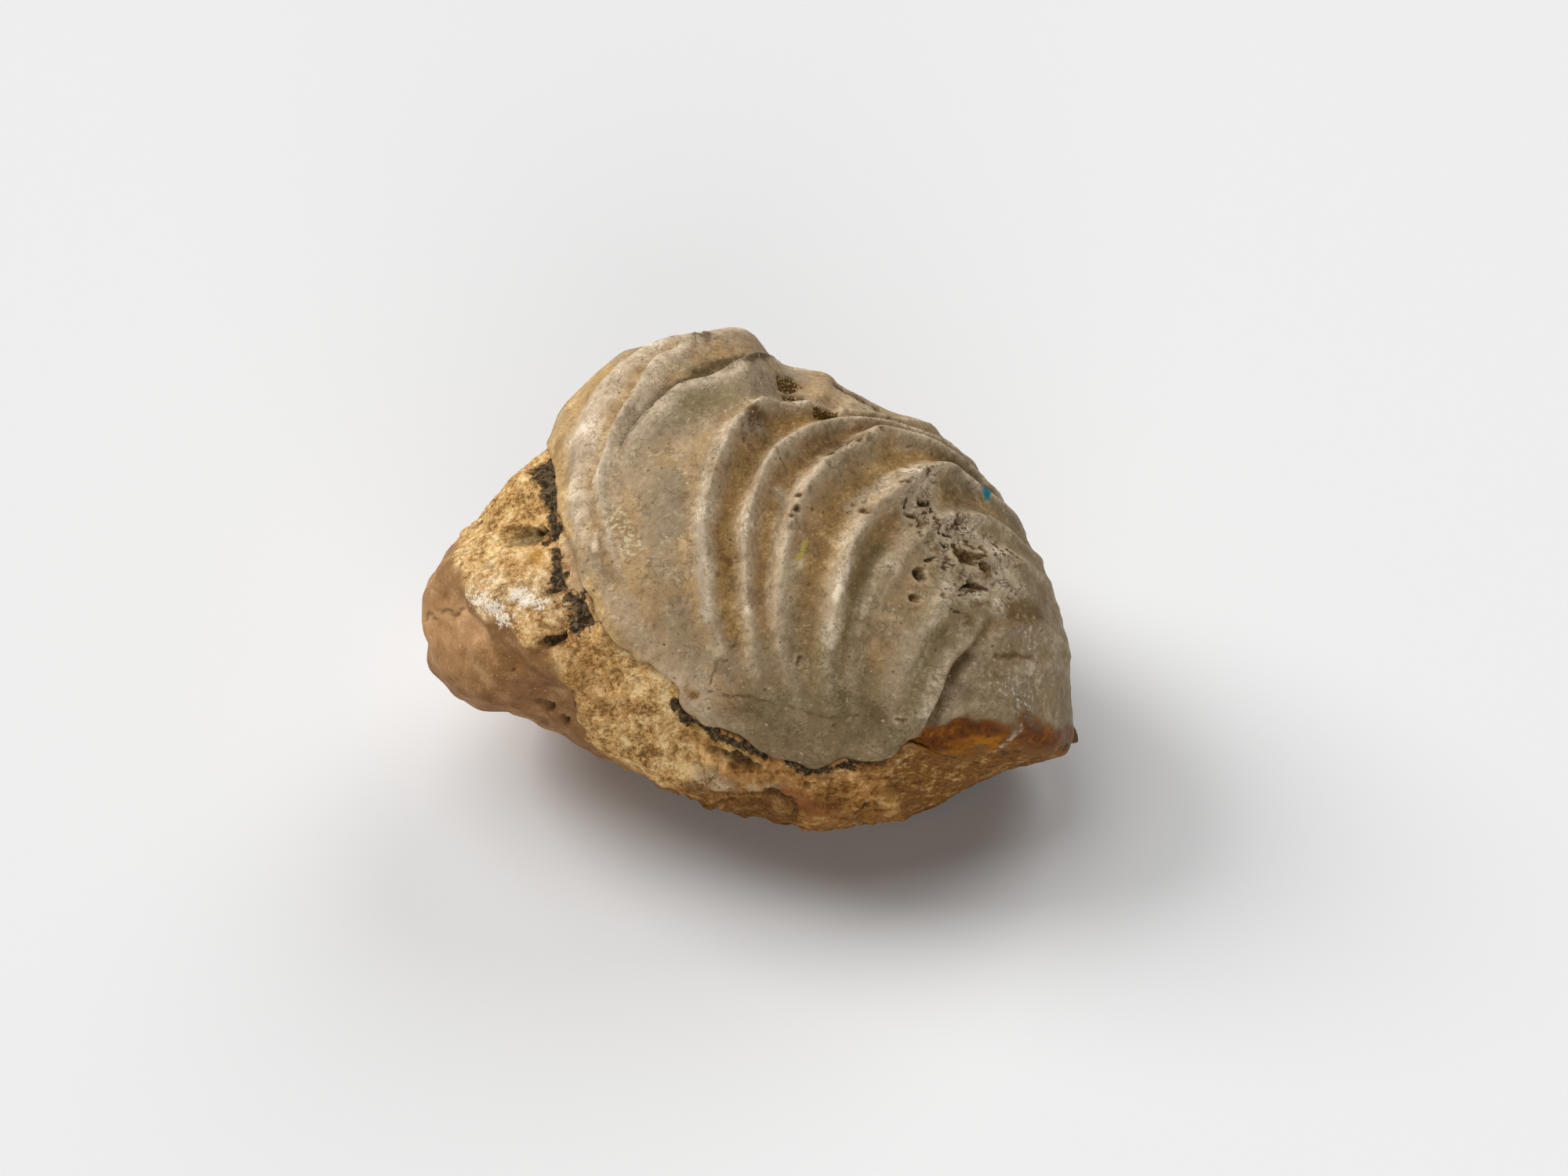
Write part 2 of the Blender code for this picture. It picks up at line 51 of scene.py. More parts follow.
# --- the lump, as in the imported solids

FACE_TILT = math.radians(48)
SET_ON_SOLE = (0.078, 1.147, 37)  # from the middle of the girdle to the part's origin, in mm
OUTLINE = [
    (59.5, -28), (59.5, -17.5), (58.5, -9), (55.5, -1), (53, 4.5), (48, 12), (42, 19.5), (35.5, 26), (28, 30),
    (22.5, 32.5), (17, 35), (14, 37.5), (8, 38), (4, 41), (0, 44.5), (-4.5, 45.5), (-11, 45), (-18.5, 43.5),
    (-27, 39.5), (-32, 34), (-35.5, 30.5), (-38, 24.5), (-43.5, 18.5), (-49.5, 10.5), (-56, 4), (-59.5, -2),
    (-60, -9), (-58, -16.5), (-54.5, -21.5), (-50.5, -24), (-44.5, -25), (-38.5, -27), (-31, -31.5),
    (-22.5, -35), (-14, -39.5), (-5, -43), (3.5, -45), (13.5, -46), (23.5, -45), (32.5, -43), (39.5, -39.5),
    (46.5, -36), (54, -34), (58.5, -32),
]
FRONT_BULGE = 39.0
BACK_BULGE = 38.0
FULLNESS = 2.1
BEAK = (59, -29, 0)
DOME_AXIS = (0.388, 0.424, 0.818)
SEAM = [
    (56, -33.5), (49, -34.5), (39.5, -33.5), (30, -30), (26, -32), (20, -33.5), (17, -33), (12.5, -35),
    (8.5, -34), (4, -32.5), (-1, -29.5), (-5, -28), (-9, -26.5), (-12.5, -23), (-13, -20), (-17.5, -16),
    (-20.5, -15.5), (-23, -13), (-26.5, -9), (-28.5, -4.5), (-30.5, -0.5), (-32.5, 5), (-35.5, 12),
    (-36.5, 18), (-37, 22.5), (-36.5, 25.5, -3), (-31, 33, -9), (-21, 38.5, -15), (-9, 41, -17), (3, 40, -14),
    (12, 36, -15), (22, 31, -20), (34, 22, -23), (46, 8, -22), (54, -6, -18), (57.5, -20, -10), (58, -30, -5),
]
VALVE_SETBACK = 0.5
SEAM_RAGGEDNESS = 0.008  # radians
SEAM_RING = 45  # the radius, in mm, at which the seam's ragged line is worked out
RECESS_BY_BEAK = 0.2
RECESS_BY_MARGIN = 2.1
RECESS_REACH = 9.0
BREAKS = [
    ((-0.3, 0.6, -0.75), 38), ((0.6, 0.2, -0.78), 42.5), ((-0.2, -0.75, -0.63), 40.5),
    ((-0.85, 0.1, -0.5), 50), ((0.15, -0.45, -0.88), 40.5),
]
BREAK_SHARPNESS = 45
HEIGHT_STATIONS = (-62, -45, -25, 0, 20, 42, 90)  # where a ridge's heights and grooves are given
FRONT_ENDS = (-9, -3)  # between these distances out of the girdle's plane, what is drawn on the face fades in

# How edges are made ragged: size and amount of the shaking in mm, and its seed.
FINE_EDGES = (2.2, 0.5, 61)
COARSE_EDGES = (5, 1.4, 65)
BORING_EDGES = (1.3, 0.3, 68)
CREVICE_EDGES = (1.6, 0.45, 69)
STONE_FINE_EDGES = (1.8, 0.7, 81)
STONE_COARSE_EDGES = (4, 1.3, 91)


class Ridge:
    """One growth line: where it runs, how high it stands and the groove between it and the next."""

    def __init__(self, line, height, groove, groove_at=0.5, ochre=0.5, sharp=0):
        self.line = np.reshape(line, (-1, 2)).T  # stations and distances from the beak, given by turns
        self.height = height
        self.groove = groove
        self.groove_at = groove_at  # the groove's place between this ridge and the next, 0 to 1
        self.ochre = ochre  # how much ochre has settled in the groove
        self.sharp = sharp  # the share of the height that stands in a narrow rib


LEVEL = (0,) * len(HEIGHT_STATIONS)
RIDGES = [
    Ridge([-90, 90, -60, 102, -40, 108, -10, 112, 15, 112, 35, 108, 60, 100, 100, 90], LEVEL, LEVEL, ochre=0),
    Ridge([-90, 80, -57, 94.7, -41, 102.6, -33, 104.1, -21, 105.2, -11, 106.3, 0, 107, 19, 107.2, 29, 106.3,
           39, 103.8, 60, 94, 100, 82],
          (0, 0.3, 0.6, 0.9, 1, 0.8, 0.3), (0, 0.1, 0.4, 0.5, 0.4, 0.4, 0.2), 0.6, 1, 0.3),
    Ridge([-90, 76, -57, 91, -49, 94.4, -39, 98, -30, 100.5, -18, 102, -2, 102.6, 22, 102.1, 38, 99, 50, 95.2,
           64, 88, 100, 78],
          (0, 0.3, 1.1, 1.7, 1.6, 0.9, 0.2), (0, 0.1, 0.4, 0.9, 1.1, 0.9, 0.4), 0.62, 0.5, 0.4),
    Ridge([-90, 74, -57, 89.4, -40, 97.3, -30, 99.6, -19, 101.2, -9, 101.1, 0, 100.7, 10, 98.9, 16, 95.8,
           25, 92.4, 44, 86.4, 60, 80, 100, 70],
          (0, 0, 0.2, 0.6, 0.7, 0.6, 0.3), (0, 0, 0.1, 0.1, 0.1, 0, 0), 0.7, 0.2, 0),
    Ridge([-90, 66, -60, 73.4, -51, 77.2, -37, 82.5, -21, 86.6, -6, 88.5, 0, 88.9, 8, 87.7, 14, 85.9,
           20, 80.5, 28, 73, 44, 64, 60, 58, 100, 50],
          (0, 0.5, 1.8, 1.9, 1.5, 0.7, 0.3), (0, 0.4, 1, 1.9, 0.7, 0.3, 0.2), 0.55, 1, 0.4),
    Ridge([-90, 60, -60, 68, -46, 72.4, -35, 76.5, -24, 79.8, -11, 81.3, 6, 80.1, 14, 77.6, 23, 73.6,
           28, 69.5, 44, 58, 60, 53, 100, 46],
          (0, 0.7, 1.5, 1.6, 1.4, 0.9, 0.4), (0, 0.4, 1, 0.9, 0.6, 0.5, 0.3), 0.6, 0.9, 0.4),
    Ridge([-90, 53, -60, 60.5, -47, 67.2, -30, 72.2, -12, 75.1, 2, 74.1, 17, 70.4, 23, 69, 34, 59.2, 43, 50.5,
           60, 45.5, 100, 40],
          (0, 0.6, 1.4, 1.7, 1.8, 1.2, 0.4), (0, 0.3, 0.8, 1, 0.9, 0.6, 0.3), 0.65, 0.9, 0.35),
    Ridge([-90, 51, -60, 55.2, -44, 59.5, -23, 63.8, -10, 64.8, 8, 62.7, 18, 60.4, 28, 56, 37, 47.7, 50, 41.5,
           100, 35],
          (0, 0.4, 1.3, 1.8, 1.8, 0.9, 0.2), (0, 0.2, 0.6, 0.8, 0.8, 0.4, 0.1), 0.65, 0.7, 0.25),
    Ridge([-90, 46, -60, 50.5, -45, 55, -30, 57.8, -12, 57.6, 6, 54.2, 23, 46.6, 36, 36.8, 60, 32, 100, 29],
          (0, 0.3, 0.5, 0.5, 0.6, 0.3, 0), (0, 0.2, 0.5, 0.5, 0.4, 0.2, 0), 0.5, 0.5, 0.15),
    Ridge([-90, 42, -60, 45.5, -40, 48, -16, 47.5, 4, 46.3, 13, 42.8, 28, 33.2, 60, 27, 100, 25],
          (0, 0.3, 0.5, 0.4, 0.4, 0.2, 0), (0, 0.3, 0.4, 0.4, 0.3, 0.1, 0), 0.55, 0.3, 0.1),
    Ridge([-90, 37, -55, 39.6, -43, 41, -36, 41.5, -29, 40.8, -22, 39.6, -10, 38, 1, 35, 21, 25, 50, 19,
           100, 17],
          (0, 0.7, 0.6, -0.6, -0.5, -0.4, -0.2), (0, 0.5, 0.9, 0.4, 0.3, 0.2, 0.1), 0.45, 0.6, 0.5),
    Ridge([-90, 34, -55, 37.5, -39, 38.4, -27, 36.6, -17, 35.7, -11, 34.5, -3, 32.1, 5, 28.3, 11, 25.2,
           21, 19.5, 50, 14, 100, 12],
          (0, 0.3, 0.4, 0.3, 0.2, 0.1, 0), (0, 0.3, 0.3, 0.2, 0.1, 0, 0), 0.35, 0.3, 0.1),
    Ridge([-90, 22, -44, 29, -20, 28, -10, 24, 0, 20, 20, 12, 50, 9, 100, 8],
          (0, 0.2, 0.3, 0.3, 0.2, 0.1, 0), (0, 0.1, 0.2, 0.1, 0.1, 0, 0), 0.4, 0.3, 0.2),
    Ridge([-90, 2, 0, 2, 100, 2], LEVEL, LEVEL, ochre=0),
]

# Swells and dips of the stone: the places along each line, then its reach and its height.
STONE_FORMS = [
    (-54, 3, -50, 0, -43, -8, -36, -15, -29, -23, -21, -30, -13, -36, 4, 1.6),
    (-47, -13, -40, -17, -34, -21, 6, -1.4), (-58, -4, -57, -12, -53, -19, 5, 1),
    (-41, 13, -39, 5, -35, -3, -30, -11, 4.5, -1.4), (-8, -36, -4, -36, -1, -35.5, 3.2, 2),
    (4, -41.5, 10, -42, 16, -42, 3, 0.9), (24, -40, 32, -38, 42, -35, 4, -0.8),
]

# --- smaller features

# Holes and slits in the valve: the places along a line on the face, then its radius and depth.
BORINGS = [
    (31.3, 0.8, 31.4, 0.3, 1, 1.7), (29.7, -3.8, 30.1, -3.6, 0.75, 1),
    (38.4, -2, 39.8, -1.5, 41.4, -1.3, 0.65, 1.5), (34.5, -2.7, 34.6, -3.2, 0.35, 0.6),
    (32.7, 2.9, 34.1, 3.3, 0.4, 0.7), (47.6, -3.9, 47.7, -3.9, 0.4, 0.7), (38.7, 3.6, 40.7, 3.5, 1.1, 1),
    (43, 2.4, 43.5, 1.3, 0.75, 0.8), (37.9, 4.6, 39, 4.5, 0.4, 0.4), (29.9, 11.3, 30.5, 11.2, 0.6, 0.6),
    (37.4, 11.5, 37.7, 9.7, 38.4, 10.3, 0.35, 0.8), (31.3, 10.2, 31.2, 9.1, 0.42, 0.8),
    (42.2, 5.6, 43.1, 4.2, 0.35, 0.6), (47, 5, 48.8, 3.3, 0.35, 0.6), (31.7, 14, 32.7, 13.5, 0.75, 1),
    (31, 8.1, 31, 7.5, 0.3, 0.4), (8.1, 11.9, 8.3, 11.8, 0.75, 0.6), (8.6, 14, 8.9, 14.1, 0.6, 0.35),
    (7.4, 10.6, 7.5, 10.5, 0.4, 0.3), (20.3, 11.6, 20.5, 11.5, 0.7, 0.6), (26.3, 16.4, 27, 16.3, 0.4, 0.5),
    (30.6, 18.5, 31.1, 17.7, 0.45, 0.45), (31.6, 19.1, 31.8, 18.9, 0.4, 0.4),
    (25.9, 29.2, 26.5, 29.2, 0.6, 0.7), (25, 28.5, 25.2, 28.4, 0.35, 0.4), (29.1, 24, 29.3, 24, 0.35, 0.5),
    (21.4, 30.6, 22.2, 30.2, 0.5, 0.5), (13.6, 21.4, 13.8, 20.9, 0.6, 0.3),
    (18.9, 23.4, 19.2, 23.9, 0.4, 0.3), (22.4, 25.7, 22.6, 25.6, 0.4, 0.45), (-5.9, 20.3, -5.8, 20, 0.3, 0.2),
    (43.2, -31.7, 43.4, -31.7, 0.7, 0.9), (45.6, -32.8, 46.2, -33, 0.5, 0.6),
    (8.9, -15.4, 9.4, -14.6, 0.4, 0.4), (26.8, -25.3, 28, -25.6, 0.4, 0.35),
    (29.5, -30, 30.6, -29.6, 0.7, 0.9),
]
# Crevices between the lumps of the eroded part, drawn the same way.
CREVICES = [
    (29.4, 15, 28.9, 13.8, 29.3, 12.6, 0.3, 0.35), (33.5, 13.9, 33.7, 11.9, 32.7, 12.2, 0.35, 0.5),
    (33.8, 10.5, 34.6, 8.5, 0.3, 0.35), (34.9, 8.3, 37.2, 7.9, 38, 6.5, 38.2, 5.2, 0.4, 0.45),
    (36.1, 2.9, 35.5, 1.4, 0.35, 0.4), (42.1, 3.4, 43, 4, 0.4, 0.4),
    (37.6, -2.8, 39.8, -2.6, 42.1, -2.1, 44.1, -2.2, 0.35, 0.35), (36.4, 5.4, 37.8, 5.6, 0.3, 0.4),
    (40.4, 6.4, 41.3, 5, 0.3, 0.35), (45, 6.2, 46.3, 4, 0.3, 0.3), (36.3, -5.9, 38.2, -6.3, 0.3, 0.25),
]
CRYSTAL_HOLLOWS = [
    (5.9, 35.3, 8.9, 35.3, 1.25, 1.5), (7.8, 33.2, 9.8, 32.3, 12.4, 30.9, 15.3, 29.7, 1.25, 1.5),
]
VUG_WALL = [(9.2, 32.3), (10.6, 33.1), (14.9, 32.4), (16.5, 31.2), (16.4, 28.7), (13.2, 30.6)]
ERODED = [
    (27.2, 17.1), (29.4, 19.6), (33, 19.6), (35.1, 15.8), (36.4, 12.2), (40.1, 11.6), (43.2, 8), (46.5, 5.2),
    (49.4, 0.3), (50.8, -4), (47, -6.1), (42.9, -4.6), (39, -3.9), (34.8, -1.1), (33, 3.8), (31.3, 6.6),
    (28.2, 10.1), (27.1, 13.6),
]
STAIN = [
    (30.7, -29.6), (32.8, -28.2), (35.5, -26.1), (39.7, -24.9), (41.9, -26.1), (45.4, -25.9), (47.9, -26.5),
    (50.5, -25.3), (52.2, -26.3), (55.2, -27.1), (62, -27.2), (62, -29.2), (54, -30.9), (49.1, -31.1),
    (46.3, -30.7), (41.6, -31.7), (38.6, -33.3), (35.8, -33.4), (33.4, -31.9), (30.9, -30.5),
]
STAIN_HEART = [(37, -32), (41, -30.6), (45.5, -29.3)]
STAIN_VEIN = [(48.8, -27.2), (47.2, -29.1), (45.8, -30.8)]
FIBROUS = [
    (28, -30.4), (33, -30.2), (38, -30.6), (45, -30.4), (52, -30.4), (63, -30), (64, -33.5), (60, -37),
    (45, -42), (30, -44), (25, -38),
]
YELLOW_MARGIN = [
    (-25, 41.5), (-30.3, 36), (-34, 31.5), (-37.5, 25.3), (-37.5, 12), (-34.6, 5.6), (-31.9, 6.6),
    (-32, 12.2), (-31.8, 17.9), (-31, 23.6), (-29.6, 29.3), (-27.6, 34.3), (-24.8, 38.6),
]
YELLOW_LIP = [(-28.6, -1.1), (-26.6, -6.7), (-24, -11.4), (-21.2, -14.6)]
# Painted shade: an outline of the deep groove near the upper margin, coloured dark brown for the shade that
# lies in it.
GROOVE_SHADE = [
    (-24.1, 22.3), (-23, 26), (-21.1, 28.8), (-18.3, 32.2), (-15.5, 34.5), (-12.7, 36.5), (-10.7, 38.9),
    (-8.5, 40.2), (-5.1, 40.8), (-0.9, 41), (4.1, 40.3), (6.7, 39.9), (4.1, 38.9), (-0.8, 38.2), (-3.7, 36.9),
    (-7.2, 35.6), (-10.7, 34.7), (-14.1, 33.3), (-16, 31.8), (-19.1, 28.6), (-22.3, 24.4),
]
# Painted shade along a groove by the beak, which gets no relief of its own.
BEAK_GROOVE = [(39.6, -14.1), (38.8, -15.4), (37.4, -17.1), (36.2, -19), (34.6, -22.4), (32.9, -26.1)]
GRITTY = [(-5.9, 8.5), (-3, 9.5), (-2.6, -3.2), (-1.3, -8.7), (-0.6, -12.3), (-4, -10.8), (-5.9, -3.2)]
BROWN_PATCHES = [
    (45.6, -8.4, 46, -6, 47.9, -4.6, 51.3, -4, 54, -5.4, 54, -8.9, 50, -8.6, 1.6),
    (39.2, -6.6, 41.2, -6.6, 41.2, -8.6, 39.4, -8.6, 0.9),
    (44.5, -14.2, 48.4, -13.9, 50.8, -14.2, 50.8, -15, 48.4, -14.9, 44.6, -15.2, 0.4),
    (36.8, 5.2, 39.6, 6, 41.6, 4.6, 40.6, 2.6, 37.4, 3.2, 0.8), (42, 3.4, 44, 2.8, 44.6, 0.4, 43, -0.4, 0.8),
    (40.4, -3, 43.6, -3, 44.6, -4.6, 41.2, -5, 0.9), (-0.9, 29, 1.4, 30.3, 3.1, 29, 2.2, 27.2, -0.4, 27, 1.4),
]

# Zones where the shell's tone shifts, with coarse edges: the places along each line, then its reach.
SHELL_TONES = {
    "violet": [(-19, 25, -12, 30.5, -4, 33.5, 4, 35, 5), (-13, 17, -14, 8, 3.5)],
    "pale_edge": [(-27, -5, -22, -12, -16.5, -16.5, -12, -19.5, 4.5)],
    # pale_band: a paler band on a ridge, partly its own tone, partly painted light on the slope that faces
    # the key light
    "pale_band": [(30, 7, 26.6, 1.2, 24, -5.7, 1.2), (34.4, -6.5, 33, -9, 30.4, -12.5, 0.8)],
    "olive": [
        (13, -8, 14.5, -15, 18, -22, 4), (43, -18, 39, -24, 2.5), (-11, 31, -4, 33, 3),
        (4, -23, 11, -22, 19, -18, 3.2),
    ],
}
# Marks on the shell with fine edges, written the same way.
SHELL_STREAKS = {
    "rough": [
        (-16.3, 39.5, -12.5, 41.6, -8.3, 43, 1.7), (-0.6, 26.6, 0.9, 28.6, 2.4, 27.2, 1.4),
        (13.3, 20.2, 15.2, 22.4, 17.6, 24, 19.9, 24.6, 1.5), (6.3, 15.6, 7.4, 12.6, 7.2, 9, 1),
        (-5.6, 23, -6.4, 20, -7.2, 17, 0.9), (18.5, 12.4, 21.5, 15.2, 25.5, 17.6, 29, 18.6, 1),
        (-0.4, 28, 1.7, 30.7, 5.4, 32.8, 0.9),
    ],
    "ochre": [
        (-22, 15, -21, 2, 2.2), (-11.5, 6, -11, -3, 1.6), (-9, -8, -8, -12, 1.6),
        (-26.3, 13.6, -27.5, 19.2, -26.8, 23.5, -24.8, 27.7, -22.7, 32, -19.2, 37.1, -16.8, 40.1, 1),
        (-10.5, 20, -8, 25, 1.6), (26.3, 6.2, 24.3, 1.8, 22.8, -2.6, 21, -8.5, 0.9),
    ],
    "crack": [
        (-4.3, -14.6, -6.1, -16.4, -7, -19.2, 0.3), (-0.1, -9.6, -1.7, -10.8, -3.2, -12.4, 0.3),
        (4, 22.6, 5.6, 20.5, 7.2, 18.5, 0.3), (-9.9, 38.3, -9.9, 36.2, 0.3),
        (-8.4, -20.6, -2.2, -21.3, 3.6, -22.3, 13.1, -24.8, 19.7, -25.1, 0.3),
    ],
    # core: painted shade along the deepest line of the groove near the upper margin
    "core": [(-24.2, 22.6, -21.9, 25.1, -19.1, 28.9, -15.9, 32.2, -13.8, 33.9, -10.4, 35.2, -6.5, 36, 0.8)],
    "crumbled": [(17, 34.5, 19.9, 32.9, 23, 31.5, 2)],
    # pocket: a hollow between two ridges, made gritty and sunk, with its shade painted as a darker golden
    # brown tone
    "pocket": [(-1.1, 18.4, -0.3, 22.4, 1.2, 24.4, 2.2)],
    # trough: painted shade in a trough between two ridges in the middle of the face
    "trough": [(23.8, 4.6, 21.5, 0, 19.4, -6.3, 18.4, -13.8, 2.1)],
    "bluish": [(-8.6, 9.3, -8, -0.4, -7.2, -7.4, 0.9)],
    "spot": [(-10.3, -20.6, -10, -20.9, 1.1)],
}
SCALE = [(4.7, 0.3), (5.5, -0.7), (7.5, 0.3), (10.3, 2.1), (10, 3.5), (7.8, 2.6), (6.1, 1), (5.1, 2.1)]

# Pits and slits in the stone, written like those in the valve.
STONE_PITS = [
    (-42.6, 7.7, -40.6, 8, 2.1, 2.2), (-35.8, -11, -34.2, -11.2, 0.9, 1.6),
    (-38, -23.2, -37.2, -23.5, 1.25, 1.7), (-33.5, -25.5, -33.3, -25.7, 0.8, 1.2),
    (-31.3, -20.6, -31.3, -22.5, 0.4, 0.7), (22, -33.4, 22.9, -33.3, 0.9, 1.4),
    (31.4, -37.1, 31.6, -37.1, 0.55, 0.9), (26.4, -36.5, 28.7, -36.6, 0.45, 0.8),
    (10.4, -37.2, 11, -37.2, 0.7, 0.9), (18.7, -41.7, 18.9, -42.4, 0.4, 0.9),
    (19.9, -41.3, 20.2, -42, 0.4, 0.9), (21.2, -41, 21.5, -41.7, 0.4, 0.9),
    (22.5, -40.7, 22.8, -41.2, 0.4, 0.8), (23.8, -40.4, 25.6, -40.1, 0.4, 0.8),
    (-57.6, -7, -57.4, -6.9, 0.7, 0.7), (-56.8, -6.8, -54, -6.4, -50.2, -5.9, 0.35, 0.35),
    (-12.8, -37.4, -10.8, -39.4, -7.7, -41, -3, -39.5, 0.6, 1),
    (-3, -39.5, 0.7, -38.2, 5.6, -38.7, 8.3, -40.6, 8.8, -44.4, 0.55, 1),
    (-6.5, -31.8, -2.9, -32.5, 0.7, -34.2, 1.2, 1.2), (-52.2, -13.6, -52, -13.6, 0.4, 0.5),
    (-46.4, -11, -46.2, -11, 0.4, 0.5), (-43.3, -16.9, -43.1, -16.9, 0.35, 0.5),
    (-55.9, -2.1, -55.7, -2.1, 0.35, 0.4),
]
WORN_FACE = [
    (-54.5, 6.8), (-53, 5.1), (-51.5, 0.6), (-49.5, -3.5), (-47.5, -6.3), (-44.2, -8), (-39.7, -10.1),
    (-35.6, -12.6), (-34.8, -15.5), (-33.4, -18.8), (-31.2, -22.7), (-30.6, -25.4), (-28.5, -28.8),
    (-25.2, -32.4), (-19.4, -36), (-13.7, -38.6), (-12, -52), (-50, -60), (-75, -30), (-75, 5), (-58, 9),
]
UNDERCUT = [
    (-12.8, -38), (-10.8, -39.8), (-7.7, -41.4), (-3, -40), (0.7, -38.8), (5.6, -39.2), (8.3, -41),
    (8.8, -50), (-14, -50),
]
NODULE = [
    (-11.6, -36.6), (-8.5, -34.4), (-5.5, -34.2), (-1.4, -36.2), (-1.6, -38.2), (-6.5, -40), (-10.4, -38.6),
]
# The stone's own, with coarse edges and with fine ones.
STONE_TONES = {
    "warm": [(-43, -3, -38, -5, -32, -14, -27, -21, 7)],
    "bright": [(-49, -3.5, -43, -3.5, -36, -4, 4.5)],
    "amber": [(-39.8, 4.3, -39.9, 2.1, 1.2)],
    "reddish": [(6.2, -38.6, 10.5, -40.6, 14.8, -42.3, 2.2)],
    "gold_lip": [(-8.6, -29, -3.6, -30.2, 0.7, -32, 1.1)],
}
STONE_STREAKS = {
    "skin": [(-34.2, 6.5, -33.4, 3.5, -32.6, 0.8, -31.4, -1.6, 1.9)],
    "white": [
        (-48.2, -3.6, -46.9, -4.2, 1.7), (-44.9, -4.2, -42.8, -6.8, 2.3), (-41, -3, -37.6, -5, 1.7),
        (-33.6, -8.4, -31.8, -9.6, 1),
    ],
    "pale": [(-8.6, -34.8, -6.2, -35.4, -4.2, -36.6, 1.7)],
    "grey": [(0.4, -36.9, 5.6, -37.8, 0.8)],
    "black": [
        (-37.2, 24, -39, 20.7, -38, 17, -37.4, 13, -36.8, 9, 2), (-36.6, 4.8, -36.4, 1.1, -35.6, -1.8, 1.3),
        (-33.6, -4.6, -31.4, -5.8, -30.6, -8.4, -32.6, -8.8, 1.9), (-30.4, -2.6, -30.7, -4.3, 0.6),
        (-13.4, -23.4, -11, -26.2, -8.8, -27.7, -5, -29.1, -0.8, -30.4, 3.4, -32.8, 1.3),
        (6.9, -33.4, 11.1, -34.9, 14.2, -35, 17.3, -33.9, 20, -33.4, 24.2, -33.1, 0.95),
        (-41, 8.8, -38.6, 8.4, -38.2, 6.8, 0.9), (-35.8, -11, -34.2, -11.2, 0.9),
        (-5.6, -31.8, -2.4, -32.2, 0.9, -33.9, 0.7),
    ],
}
BEAK_SPUR = [(58.5, -27.4, -7.5), (58.6, -28.9, -7.5)]


def unit(vectors):
    """Vectors of length 1 along these ones."""
    vectors = np.asarray(vectors, float)
    return vectors / np.linalg.norm(vectors, axis=-1, keepdims=True)


def smooth_table(x, stops, values):
    """A smooth curve through the values at the stops, level beyond the first and the last."""
    stops = np.asarray(stops, float)
    values = np.asarray(values, float)
    slopes = np.gradient(values, stops)
    x = np.clip(x, stops[0], stops[-1])
    i = np.clip(np.searchsorted(stops, x) - 1, 0, len(stops) - 2)
    span = stops[i + 1] - stops[i]
    t = (x - stops[i]) / span
    rise = values[i + 1] - values[i]
    bend_in = slopes[i] * span - rise
    bend_out = rise - slopes[i + 1] * span
    return values[i] + t * rise + t * (1 - t) * (bend_in * (1 - t) + bend_out * t)


def smooth_loop(points, steps=8):
    """A closed Catmull-Rom curve through the points."""
    p = np.asarray(points, float)
    before, after, later = np.roll(p, 1, 0), np.roll(p, -1, 0), np.roll(p, -2, 0)
    t = np.arange(steps)[None, :, None] / steps
    curve = 0.5 * (
        2 * p[:, None]
        + (after - before)[:, None] * t
        + (2 * before - 5 * p + 4 * after - later)[:, None] * t**2
        + (3 * p - before - 3 * after + later)[:, None] * t**3
    )
    return curve.reshape(-1, p.shape[1])


def waves(points, size, seed, count=20):
    """Smooth random swells of about this size, between roughly -2 and 2."""
    chance = np.random.default_rng(seed)
    turns = unit(chance.normal(size=(count, 3))) * chance.uniform(0.6, 1.4, (count, 1)) * math.tau / size
    starts = chance.uniform(0, math.tau, count)
    return np.cos(points @ turns.T + starts).sum(1) * math.sqrt(2 / count)


def grain(points, size, seed, octaves=1):
    """Random lumps of this size between -1 and 1, with finer ones on top."""
    chance = np.random.default_rng(seed)
    order = chance.permutation(256)
    levels = chance.uniform(-1, 1, 256)
    place = points / size + 31.7
    total = 0
    share = 1.0
    for _ in range(octaves):
        cell = np.floor(place).astype(int)
        part = place - cell
        ease = part**3 * (part * (part * 6 - 15) + 10)
        for corner in np.ndindex(2, 2, 2):
            x, y, z = (cell + corner).T % 256
            level = levels[order[(order[(order[x] + y) % 256] + z) % 256]]
            total = total + share * level * np.prod(np.where(corner, ease, 1 - ease), axis=1)
        share *= 0.5
        place = place * 2.03 + 7.3
    return total


def fade(x, low, high):
    """0 at low and below, 1 at high and above, smooth between. Low may be the greater."""
    t = np.clip((x - low) / (high - low), 0, 1)
    return t * t * (3 - 2 * t)


OUTLINE_CURVE = smooth_loop(OUTLINE)
OUTLINE_ANGLES = np.arctan2(OUTLINE_CURVE[:, 1], OUTLINE_CURVE[:, 0])
OUTLINE_RADII = np.hypot(OUTLINE_CURVE[:, 0], OUTLINE_CURVE[:, 1])


def outline_radius(angle):
    """How far the girdle is from the middle, in this direction on the face."""
    order = np.argsort(OUTLINE_ANGLES)
    return np.interp(angle, OUTLINE_ANGLES[order], OUTLINE_RADII[order], period=math.tau)


def body(directions):
    """The smooth body's surface in these directions from the middle, in face coordinates."""
    directions = unit(directions)
    across, up, out = directions.T
    girdle = np.hypot(across, up) / outline_radius(np.arctan2(up, across))
    bulge = np.abs(out) / np.where(out > 0, FRONT_BULGE, BACK_BULGE)
    radius = (girdle**FULLNESS + bulge**FULLNESS) ** (-1 / FULLNESS)
    return directions * radius[:, None]


